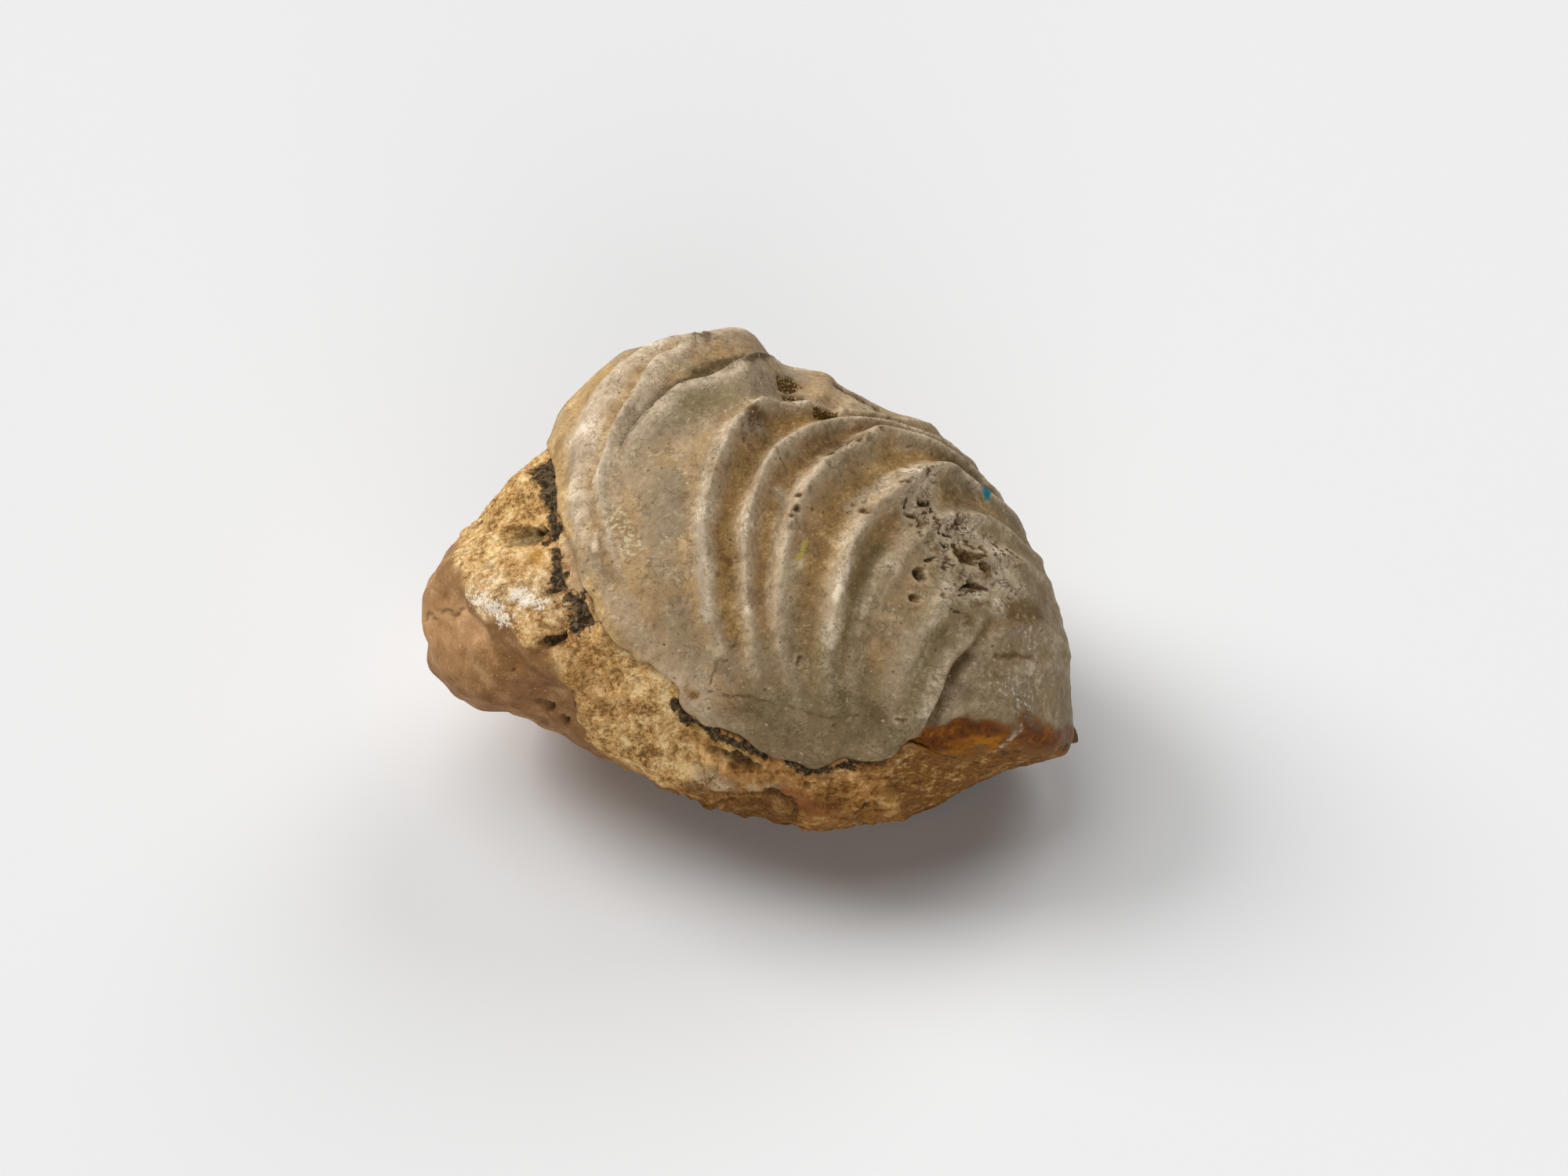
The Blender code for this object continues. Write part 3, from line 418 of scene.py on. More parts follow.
def on_face(points):
    """Points given by two numbers, moved out of the face onto the front of the body."""
    placed = []
    for point in points:
        across, up = point[:2]
        share = math.hypot(across, up) / float(outline_radius(math.atan2(up, across)))
        out = FRONT_BULGE * max(0, 1 - share**FULLNESS) ** (1 / FULLNESS)
        placed.append((across, up, point[2] if len(point) > 2 else out))
    return np.array(placed, float)


def frame_round(axis, towards):
    """Three square directions: along the axis, towards a second one, and across both."""
    along = unit(axis)
    beside = unit(np.asarray(towards) - along * np.dot(towards, along))
    return along, beside, np.cross(along, beside)


def growth_place(points):
    """Distance from the beak, and the station's angle, of points on the body."""
    _, over_crest, to_far_side = frame_round(-np.array(BEAK), DOME_AXIS)
    offset = points - np.array(BEAK)
    return np.linalg.norm(offset, axis=1), np.degrees(np.arctan2(offset @ to_far_side, offset @ over_crest))


def distance_to_nearest(points, starts, ends):
    """Distance from each point to the nearest of the straight stretches from these starts to these ends."""
    nearest = np.full(len(points), np.inf)
    for start, step in zip(starts, ends - starts):
        t = np.clip((points - start) @ step / (step @ step), 0, 1)
        nearest = np.minimum(nearest, np.linalg.norm(points - start - t[:, None] * step, axis=1))
    return nearest


def distance_to_line(points, line):
    """Distance to a line drawn on the face, whose places may be written one after another."""
    line = on_face(np.reshape(line, (-1, 2)) if np.ndim(line) == 1 else line)
    return distance_to_nearest(points, line[:-1], line[1:])


def near_line(points, line, reach):
    """1 on the line, falling smoothly to 0 a little beyond this reach."""
    return np.exp(-((distance_to_line(points, line) / reach) ** 2))


def dome_place(directions):
    """Polar angle from the dome's axis and the turn round it, in radians."""
    up, towards_beak, across = frame_round(DOME_AXIS, BEAK)
    directions = unit(directions)
    polar = np.arccos(np.clip(directions @ up, -1, 1))
    return polar, np.arctan2(directions @ across, directions @ towards_beak)


def dome_direction(polar, turn):
    """The opposite of dome_place."""
    up, towards_beak, across = frame_round(DOME_AXIS, BEAK)
    level = np.cos(turn)[:, None] * towards_beak + np.sin(turn)[:, None] * across
    return np.cos(polar)[:, None] * up + np.sin(polar)[:, None] * level


SEAM_POLAR, SEAM_TURN = dome_place(smooth_loop(on_face(SEAM)))


def seam_polar(turn):
    """The polar angle at which the valve ends, for each turn round the dome, a little ragged."""
    order = np.argsort(SEAM_TURN)
    smooth = np.interp(turn, SEAM_TURN[order], SEAM_POLAR[order], period=math.tau)
    ring = np.stack([np.cos(turn), np.sin(turn), turn * 0], axis=1) * SEAM_RING
    return smooth + SEAM_RAGGEDNESS * grain(ring, 3, 40, octaves=3)


def by_margin(turn):
    """0 on the side of the beak and 1 on the side of the margin opposite."""
    return 0.5 - 0.5 * np.cos(turn)


def broken(points):
    """The points moved in to the broken faces, with worn edges between one face and the next."""
    radius = np.linalg.norm(points, axis=1)
    directions = points / radius[:, None]
    nearness = (1 / radius) ** BREAK_SHARPNESS
    for facing, distance in BREAKS:
        nearness = nearness + np.maximum(directions @ unit(facing) / distance, 0) ** BREAK_SHARPNESS
    return directions * (nearness ** (-1 / BREAK_SHARPNESS))[:, None]


def hollow(distance, radius):
    """1 in the middle of a round-bottomed hollow and 0 from its rim outwards."""
    return np.clip(1 - (distance / radius) ** 2, 0, 1) ** 0.6


def inside(points, outline, soft):
    """1 within a closed outline drawn on the face, falling to 0 over this distance across it."""
    corners = np.reshape(outline, (-1, 2)).astype(float)
    ends = np.roll(corners, -1, 0)
    nearest = distance_to_nearest(points[:, :2], corners, ends)
    across, up, out = points.T
    within = np.zeros(len(points), bool)
    for start, end in zip(corners, ends):
        step = end - start
        lean = step[0] / step[1] if step[1] else 0
        spans = (start[1] > up) != (end[1] > up)
        within ^= spans & (across < start[0] + (up - start[1]) * lean)
    depth = np.where(within, nearest, -nearest)
    return fade(depth, -soft, soft) * fade(out, *FRONT_ENDS)


def shaken(points, size, amount, seed):
    """The points moved about at random, so that what is drawn with them gets a ragged edge."""
    return points + amount * np.stack([grain(points, size, seed + i, octaves=2) for i in range(3)], 1)


# --- the valve's form and its marks


def growth(points):
    """The ridges' relief in millimetres, with where each point is between two ridges."""
    reach, station = growth_place(points)
    reach = reach + 0.35 * grain(points, 9, 50) + 0.06 * grain(points, 3.2, 51)
    reaches = np.array([smooth_table(station, *ridge.line) for ridge in RIDGES]).T
    heights = np.array([smooth_table(station, HEIGHT_STATIONS, ridge.height) for ridge in RIDGES]).T
    grooves = np.array([smooth_table(station, HEIGHT_STATIONS, ridge.groove) for ridge in RIDGES]).T
    groove_at, ochre, sharp = np.array([(ridge.groove_at, ridge.ochre, ridge.sharp) for ridge in RIDGES]).T
    i = np.clip((reaches > reach[:, None]).sum(1) - 1, 0, len(RIDGES) - 2)
    row = np.arange(len(points))
    span = reaches[row, i] - reaches[row, i + 1]
    share = np.clip((reaches[row, i] - reach) / span, 0, 1)
    deepest = groove_at[i]
    outer_side = share < deepest
    crest = np.where(outer_side, heights[row, i], heights[row, i + 1])
    fall = np.where(outer_side, share / deepest, (1 - share) / (1 - deepest))
    bottom = -grooves[row, i]
    sharp = np.where(outer_side, sharp[i], sharp[i + 1])
    swell = (0.5 + 0.5 * np.cos(math.pi * fall)) ** np.where(outer_side, 2, 1.4)
    from_crest = np.where(outer_side, share * span, (share - 1) * span)  # positive towards the beak
    rib = np.exp(-((from_crest / np.where(outer_side, 1.5, 1)) ** 2))
    depth = np.clip((crest - bottom) / 2.2, 0, 1) * ochre[i]
    high = np.clip(crest / 1.1, 0, 1)
    return {
        "relief": bottom + 1.3 * (crest - bottom) * (swell + sharp * (rib - swell)),
        # crest: a pale band along each ridge's crest, moved a little towards the side that faces the key
        # light; partly the crests' own worn paleness, partly a painted highlight
        "crest": np.exp(-(((from_crest + 0.1) / (1.9 - 1.4 * sharp)) ** 2)) * high,
        "floor": fade(fall, 0.25, 0.8) * depth,
        # foot: ochre settled at the foot of each ridge's slope towards the margin, made lighter there as
        # painted light on the slope that faces the key light
        "foot": np.exp(-(((from_crest + 1.9) / 0.8) ** 2)) * depth * high,
        "place": np.stack([reach, station * np.clip(reach, 8, None) * math.pi / 180, i * 11], axis=1),
        "reach": reach,
    }


def scattered_pits(points, area, count, seed, radii):
    """Depth of many small pits scattered over a box on the face."""
    chance = np.random.default_rng(seed)
    low, high = np.array(area, float)
    depth = np.zeros(len(points))
    for centre in on_face(chance.uniform(low, high, (count, 2))):
        radius = chance.uniform(*radii)
        depth = np.maximum(depth, hollow(np.linalg.norm(points - centre, axis=1), radius) * radius)
    return depth


def hollows(points, holes, widen):
    """How far into any of the holes each point is, 0 to 1, the depth there and nearness to a rim."""
    within = np.zeros(len(points))
    depth = np.zeros(len(points))
    rim = np.zeros(len(points))
    for *line, radius, deepest in holes:
        distance = distance_to_line(points, line)
        bowl = hollow(distance, radius * widen)
        within = np.maximum(within, bowl)
        depth = np.maximum(depth, bowl * deepest)
        rim = np.maximum(rim, np.exp(-(((distance - radius * widen - 0.3) / 0.35) ** 2)))
    return within, depth, rim


def greatest(share_of, points, rows):
    """The greatest nearness to any line, or share inside any outline; a row ends with reach or softness."""
    return np.max([share_of(points, places, reach) for *places, reach in rows], axis=0)


def zones(points, table):
    """The marks of a table of zones."""
    return {name: greatest(near_line, points, lines) for name, lines in table.items()}


def layers(points):
    """Relief in millimetres of the thin layers by the beak, shared by the valve and the stone there."""
    across, up, out = points.T
    through = up * 0.75 - out * 0.65 - across * 0.12
    place = np.stack([across * 0.16, through, through * 0], axis=1)
    return 0.13 * grain(place, 1.1, 86, octaves=2) + 0.3 * grain(points, 3, 89, octaves=3) - 0.45


def stained(points):
    """The marks of the layers and of the rusty stain by the beak, shared by the valve and the stone."""
    torn, ragged = shaken(points, *COARSE_EDGES), shaken(points, *FINE_EDGES)
    return {
        "fibrous": inside(ragged, FIBROUS, 1),
        "stain": inside(torn, STAIN, 1.8),
        "halo": inside(torn, STAIN, 3.6),
        "vein": near_line(ragged, STAIN_VEIN, 0.45),
        "stain_heart": near_line(torn, STAIN_HEART, 2.2),
    }


def valve_form(directions):
    """The valve's surface and the marks on it."""
    points = body(directions)
    across, up, _ = points.T
    lines = growth(points)
    polar, turn = dome_place(directions)
    to_seam = (seam_polar(turn) - polar) * np.linalg.norm(points, axis=1)
    torn, ragged = shaken(points, *COARSE_EDGES), shaken(points, *FINE_EDGES)
    streaks = zones(ragged, SHELL_STREAKS)
    rough, crack, core, crumbled, pocket = map(streaks.get, ("rough", "crack", "core", "crumbled", "pocket"))

    eroded = inside(torn, ERODED, 1.6)
    pit, pit_depth, rim = hollows(shaken(points, *BORING_EDGES), BORINGS, 1.15)
    gap, gap_depth, _ = hollows(shaken(points, *CREVICE_EDGES), CREVICES, 1.15)
    crystal, crystal_depth, _ = hollows(ragged, CRYSTAL_HOLLOWS, 1.3)
    small = scattered_pits(ragged, ((27, -5), (49, 19)), count=110, seed=71, radii=(0.25, 0.55))
    small *= np.clip(eroded + rough, 0, 1)
    sparse = scattered_pits(points, ((-34, -30), (52, 40)), count=90, seed=72, radii=(0.2, 0.42))
    crevice = np.maximum(gap, 0.4 * fade(np.abs(grain(points, 2.4, 59, octaves=2)), 0.12, 0) * eroded)
    # groove: painted shade in the deep groove near the upper margin and in the groove by the beak
    groove = np.maximum(inside(ragged, GROOVE_SHADE, 0.7), near_line(ragged, BEAK_GROOVE, 1.5))
    gritty = np.maximum(inside(ragged, GRITTY, 1.2), pocket)
    fibrous = inside(ragged, FIBROUS, 1)
    vug_wall = inside(points, VUG_WALL, 0.4)

    relief = lines["relief"] - VALVE_SETBACK + 0.25 * waves(points, 14, seed=3)
    relief += 0.12 * grain(points, 4, 52, octaves=3) + 0.05 * grain(points, 0.9, 53)
    relief += 0.045 * grain(lines["place"] * (1, 0.12, 1), 1.3, 54, octaves=2)
    relief += (0.5 * eroded + 0.6 * rough) * grain(points, 2, 55, octaves=3) - 0.35 * eroded + 0.2 * rough
    relief += gritty * 0.25 * grain(points, 0.9, 60, octaves=2) + 0.12 * rim - 0.35 * core
    relief += 0.4 * inside(ragged, SCALE, 0.3)
    relief += crumbled * (0.9 * grain(points, 1.8, 56, octaves=3) - 0.9)
    relief -= pit_depth + gap_depth + 0.7 * small + 0.7 * sparse + 0.25 * crack + 0.3 * crevice + 0.5 * pocket
    relief += crystal * 0.35 * grain(points, 0.8, 57, octaves=2) - crystal_depth - 0.7 * vug_wall
    relief -= (0.5 - 0.4 * np.cos(turn)) * fade(to_seam, 1.6, 0) ** 2
    relief += fibrous * (layers(points) - relief)

    marks = {
        "reach": lines["reach"],
        "along": lines["place"][:, 1],
        # crest and pale_crest: pale worn crests with a painted highlight on their lit side, lightest on the
        # outer crests
        "crest": lines["crest"] * fade(grain(points, 2, 58, octaves=3), -1.7, 0) * (1 - groove),
        "pale_crest": lines["crest"] * fade(lines["reach"], 91, 96),
        "floor": lines["floor"],
        "foot": lines["foot"],
        "groove": groove,
        "gritty": gritty,
        "rim": rim * (1 - pit),
        "scale": inside(ragged, SCALE, 0.4),
        "eroded": np.clip(eroded + 0.7 * rough, 0, 1),
        "crevice": crevice,
        "pit": np.clip(np.maximum(pit, fade(small, 0.1, 0.5)) + 0.6 * fade(sparse, 0.1, 0.35), 0, 1),
        "crystal": crystal,
        "vug_wall": vug_wall,
        "yellow": np.maximum(inside(torn, YELLOW_MARGIN, 1), 0.8 * near_line(ragged, YELLOW_LIP, 1.7)),
        "lower": fade(up + 0.15 * across, -10, -22) * fade(across, -9, 3),
        "flank": fade(across - 0.2 * up, 27, 36),
        "beak": fade(across - 0.6 * up, 42, 52),
        "brown": greatest(inside, torn, BROWN_PATCHES),
        "chip": inside(ragged, [-28.2, 8, -27.4, 8.7, -26.9, 6.2, -27.2, 4.4, -28.3, 4.8], 0.25),
        "flake": near_line(points, [-24.4, 10.9, -22.6, 8, -21.2, 5.6], 2.3),
        "streak": fade(distance_to_line(ragged, [9.2, 3.5, 9.4, 5.1, 10.2, 6.7]), 0.5, 0.3),
        "teal": fade(distance_to_line(ragged, [41.45, 17, 42.9, 15.2]), 1.05, 0.7),
        # fleck: where small painted glints are scattered by the beak
        "fleck": near_line(points, [46, -19, 50, -22, 52.3, -18, 50.6, -11], 2.6),
        "across": np.clip(20 - to_seam, -20, 20),
        # lip: painted shade on the valve's edge beside the seam, stronger away from the beak
        "lip": fade(to_seam, 1.4, 0.2) * by_margin(turn),
        **streaks,
        **zones(torn, SHELL_TONES),
        **stained(points),
    }
    return points + unit(directions) * relief[:, None], marks


# --- the stone's form and its marks


def stone_form(directions):
    """The stone's surface and the marks on it."""
    points = broken(body(directions))
    across, up, out = points.T
    polar, turn = dome_place(directions)
    beyond_seam = (polar - seam_polar(turn)) * np.linalg.norm(points, axis=1)
    opposite = by_margin(turn)
    recess = RECESS_BY_BEAK + (RECESS_BY_MARGIN - RECESS_BY_BEAK) * opposite
    relief = -recess * np.exp(-((np.maximum(beyond_seam, 0) / RECESS_REACH) ** 2))
    for *line, reach, height in STONE_FORMS:
        relief = relief + height * near_line(points, line, reach)
    relief = relief + 0.4 * waves(points, 17, seed=5) + 0.22 * waves(points, 7, seed=6)

    torn, ragged = shaken(points, *STONE_COARSE_EDGES), shaken(points, *STONE_FINE_EDGES)
    streaks = zones(ragged, STONE_STREAKS)
    worn = inside(torn, WORN_FACE, 2.6)
    behind = fade(out, -3, -12)
    # under: a strip sunk under the stone's lower edge, darkened as painted shade
    under = inside(torn, UNDERCUT, 0.6)
    nodule = inside(ragged, NODULE, 0.8)
    fibrous = inside(ragged, FIBROUS, 1)
    lower = fade(across, -16, -2) * (1 - fibrous)
    crust = np.clip(1 - worn - 0.55 * lower - fibrous - 0.5 * behind - streaks["skin"], 0, 1)
    pit, pit_depth, _ = hollows(ragged, STONE_PITS, 1.2)
    chinks = fade(np.abs(grain(points, 2.6, 95, octaves=3)), 0.16, 0)
    clods = 0.7 - np.abs(grain(points, 3.4, 84, octaves=3))

    relief += (0.15 + 0.85 * crust) * (0.6 * clods + 0.3 * grain(points, 1.3, 85, octaves=2))
    relief += (lower + 0.6 * behind) * (0.5 * grain(points, 3, 88, octaves=3) - 0.35 * chinks)
    relief -= 0.35 * worn + 0.8 * under + 0.25 * chinks * crust
    relief -= pit_depth + streaks["black"] * (0.9 + 0.5 * grain(points, 1, 87))
    relief -= (0.15 + 0.35 * opposite) * fade(beyond_seam, 1.2, 0)
    relief += fibrous * (layers(points) - relief) + 2.6 * near_line(points, BEAK_SPUR, 1.3)

    marks = {
        "worn": worn,
        "lower": lower,
        "behind": behind,
        "under": under,
        "chinks": chinks,
        "pit": pit,
        "nodule": nodule,
        # bottom: darker towards the stone's bottom, painted shade
        "bottom": fade(up + 0.1 * across, -34, -41),
        "right": fade(across, 22, 34),
        "left": fade(across, -47, -53),
        "pink": inside(torn, [-60, -5, -52, -5.5, -48, -7.5, -48, -11, -52, -13.5, -60, -12], 1.6),
        # seam: painted shade on the stone beside the seam, stronger away from the beak, where the valve
        # overhangs it
        "seam": fade(beyond_seam, 2, 0) * opposite,
        "spur": near_line(points, BEAK_SPUR, 2),
        "across": np.clip(beyond_seam, 0, 60),
        **streaks,
        **zones(torn, STONE_TONES),
        **stained(points),
    }
    return points + unit(directions) * relief[:, None], marks


# --- meshes


def to_world(points):
    """Face coordinates in millimetres to the part's own, in metres."""
    across, up, out = np.asarray(points, float).T
    sine, cosine = math.sin(FACE_TILT), math.cos(FACE_TILT)
    level = np.stack([across, up * sine - out * cosine, up * cosine + out * sine], axis=1)
    return (level + SET_ON_SOLE) * MM


INSETS = (0.6, 1.6, 3.5, 9, 20)  # how far inside the seam's edge each turned-in ring lies


def disc(name, cells):
    """A flat closed mesh: a square sheet, its border extruded in rings and the last drawn together."""
    mesh = bmesh.new()
    bmesh.ops.create_grid(mesh, x_segments=cells, y_segments=cells, size=1)
    for ring in range(len(INSETS) + 1):
        border = [edge for edge in mesh.edges if edge.is_boundary]
        made = bmesh.ops.extrude_edge_only(mesh, edges=border)["geom"]
        corners = [item for item in made if isinstance(item, bmesh.types.BMVert)]
        for corner in corners:
            corner.co.z = -1 - ring
    bmesh.ops.pointmerge(mesh, verts=corners, merge_co=(0, 0, -1 - len(INSETS)))
    data = bpy.data.meshes.new(name)
    mesh.to_mesh(data)
    mesh.free()
    return data


def wrapped(name, cells, form, polar_of):
    """The disc wrapped over the lump by its form, with its marks kept at its points."""
    data = disc(name, cells)
    flat = np.empty(len(data.vertices) * 3)
    data.vertices.foreach_get("co", flat)
    x, y, level = flat.reshape(-1, 3).T
    u = x * np.sqrt(1 - y * y / 2)
    v = y * np.sqrt(1 - x * x / 2)
    turn = np.arctan2(v, u)
    directions = dome_direction(polar_of(np.clip(np.hypot(u, v), 0, 1), turn), turn)
    points, marks = form(directions)
    ring = np.rint(-level).astype(int)
    inset = np.array((0, *INSETS, 0))[ring]
    points -= unit(points) * inset[:, None]
    points[ring == len(INSETS) + 1] = 0
    world = to_world(points)
    world[:, 2] = np.maximum(world[:, 2], 0)
    data.vertices.foreach_set("co", world.ravel())
    # inside: the turned-in rings within the seam's gap, painted dark as shade
    marks["inside"] = fade(inset, 0.3, 2)
    for key, values in marks.items():
        data.attributes.new(key, "FLOAT", "POINT").data.foreach_set("value", values.astype(np.float32))
    mesh = bmesh.new()
    mesh.from_mesh(data)
    bmesh.ops.recalc_face_normals(mesh, faces=mesh.faces)
    mesh.to_mesh(data)
    mesh.free()
    data.shade_smooth()
    item = bpy.data.objects.new(name, data)
    bpy.context.scene.collection.objects.link(item)
    return item


VALVE_CELLS = 300
STONE_CELLS = 305
SEAM_GAP_BY_BEAK = 0.002  # radians between the valve's edge and the stone's
SEAM_GAP_BY_MARGIN = 0.007
CROWDING_AT_BACK = 0.35  # how much closer the stone's points are at its back than at the seam


def valve_polar(share, turn):
    return share * seam_polar(turn)


def stone_polar(share, turn):
    start = seam_polar(turn) + SEAM_GAP_BY_BEAK + (SEAM_GAP_BY_MARGIN - SEAM_GAP_BY_BEAK) * by_margin(turn)
    return math.pi - (math.pi - start) * share * (1 + CROWDING_AT_BACK * (1 - share))


# --- materials


def by_node(operation, reflected=False):
    """An operator that adds a Math node; reflected, it takes the wire as its second value."""

    def apply(wire, other):
        values = {0: other, 1: wire} if reflected else {0: wire, 1: other}
        return wire.paint.node("ShaderNodeMath", {"operation": operation}, values)

    return apply


class Wire:
    """A shader value or colour that can be used in sums and comparisons."""

    def __init__(self, paint, socket):
        self.paint = paint
        self.socket = socket

    __add__ = __radd__ = by_node("ADD")
    __sub__, __rsub__ = by_node("SUBTRACT"), by_node("SUBTRACT", reflected=True)
    __mul__ = __rmul__ = by_node("MULTIPLY")
    __truediv__, __rtruediv__ = by_node("DIVIDE"), by_node("DIVIDE", reflected=True)
    over = by_node("MAXIMUM")  # the greater of the two

    def clamp(self):
        """The value held between 0 and 1."""
        return self.paint.node("ShaderNodeMath", {"operation": "ADD", "use_clamp": True}, {0: self, 1: 0})

    def size(self):
        """The value without its sign."""
        return self.paint.node("ShaderNodeMath", {"operation": "ABSOLUTE"}, {0: self})

    def fade(self, low, high):
        """0 at low, 1 at high and smooth between."""
        values = {"Value": self, "From Min": low, "From Max": high}
        return self.paint.node("ShaderNodeMapRange", {"interpolation_type": "SMOOTHSTEP"}, values)

    def mix(self, low, high):
        """The low colour where this is 0 and the high one where it is 1."""
        low, high = (end if isinstance(end, Wire) else (*end, 1) for end in (low, high))
        return self.paint.node("ShaderNodeMix", {"data_type": "RGBA"}, {0: self, 6: low, 7: high}, 2)

    def ramp(self):
        """A function that mixes three colours by this value: dark at 0, middle at a half, light at 1."""
        low, high = self.fade(0, 0.5), self.fade(0.5, 1)
        return lambda dark, middle, light: high.mix(low.mix(dark, middle), light)


class Paint:
    """A material under construction."""

    def __init__(self, name):
        self.material = bpy.data.materials.new(name)
        self.material.use_nodes = True
        self.tree = self.material.node_tree
        self.shader = self.tree.nodes["Principled BSDF"]
        self.base = None  # the colour so far

    def node(self, kind, settings, values, output=0):
        """A new node with these settings and inputs; gives one of its outputs."""
        made = self.tree.nodes.new(kind)
        for name, value in settings.items():
            setattr(made, name, value)
        for name, value in values.items():
            if isinstance(value, Wire):
                self.tree.links.new(value.socket, made.inputs[name])
            else:
                made.inputs[name].default_value = value
        return Wire(self, made.outputs[output])

    def mark(self, name):
        """A value kept at the mesh's points."""
        return self.node("ShaderNodeAttribute", {"attribute_name": name}, {}, "Fac")

    def place(self):
        return self.node("ShaderNodeTexCoord", {}, {}, "Object")

    def noise(self, size, detail, roughness, offset=0):
        """Soft noise with lumps of this size in millimetres, 0 to 1."""
        place = self.node("ShaderNodeVectorMath", {"operation": "ADD"}, {0: self.place(), 1: (offset,) * 3})
        values = {"Vector": place, "Scale": 1000 / size, "Detail": detail, "Roughness": roughness}
        return self.node("ShaderNodeTexNoise", {}, values)

    def along_growth(self, width, length, detail):
        """Noise drawn out along the growth lines, with bands of this width and length in millimetres."""
        across, along = self.mark("reach") / width, self.mark("along") / length
        place = self.node("ShaderNodeCombineXYZ", {}, {"X": across, "Y": along})
        return self.node("ShaderNodeTexNoise", {}, {"Vector": place, "Scale": 1, "Detail": detail})

    def streaks(self, across):
        """Fibres that follow the seam, 0 to 1, from the distance across it."""
        along = self.node("ShaderNodeSeparateXYZ", {}, {"Vector": self.place()}) * 200
        place = self.node("ShaderNodeCombineXYZ", {}, {"X": across * 1.6, "Y": along})
        values = {"Vector": place, "Scale": 1, "Detail": 3, "Distortion": 0.6}
        return self.node("ShaderNodeTexNoise", {}, values).fade(0.36, 0.66)

    def cells(self, size):
        """Distance from the middle of the nearest of many cells of this size in millimetres."""
        values = {"Vector": self.place(), "Scale": 1000 / size}
        return self.node("ShaderNodeTexVoronoi", {}, values, "Distance")

    def lay(self, share, colour):
        """Lays a colour over the base where the share is above 0, wholly where it is 1."""
        self.base = share.mix(self.base, colour)

    def finish(self, roughness, height, coat=None, **fixed):
        """Joins the base colour, the roughness and the relief in millimetres to the shader."""
        normal = self.node("ShaderNodeBump", {}, {"Strength": 1, "Distance": MM, "Height": height})
        wires = {"Base Color": self.base, "Roughness": roughness, "Normal": normal}
        if coat is not None:
            wires["Coat Weight"] = coat
        for name, wire in wires.items():
            self.tree.links.new(wire.socket, self.shader.inputs[name])
        for name, value in fixed.items():
            self.shader.inputs[name.replace("_", " ")].default_value = value
        return self.material


def beak_edge(paint, fine, medium):
    """Lays on the brown layers and the rusty stain by the beak, and gives the stain's strength."""
    mark, lay = paint.mark, paint.lay
    layers = (paint.streaks(mark("across")) * 0.25 + medium * 2.2 + fine * 1.5 - 1.5).ramp()
    brown = layers((0.075, 0.024, 0.003), (0.21, 0.086, 0.016), (0.52, 0.31, 0.12))
    lay((mark("fibrous") * (0.6 + medium * 0.8)).clamp(), brown)
    lay((mark("halo") + (medium - 0.5) * 0.8).fade(0.15, 0.8), (0.19, 0.11, 0.038))
    stain = (mark("stain") * 1.2 + (medium - 0.5) * 1.6 + (fine - 0.5) * 0.8).fade(0.2, 1.1)
    deep = (medium * 2.4 + fine * 1.4 - 1.4).ramp()((0.06, 0.011, 0), (0.155, 0.04, 0), (0.31, 0.107, 0))
    heart = mark("stain_heart") * medium.fade(0.3, 0.6)
    lay(stain, (heart * 0.8).mix(deep, (0.42, 0.16, 0.001)))
    return stain


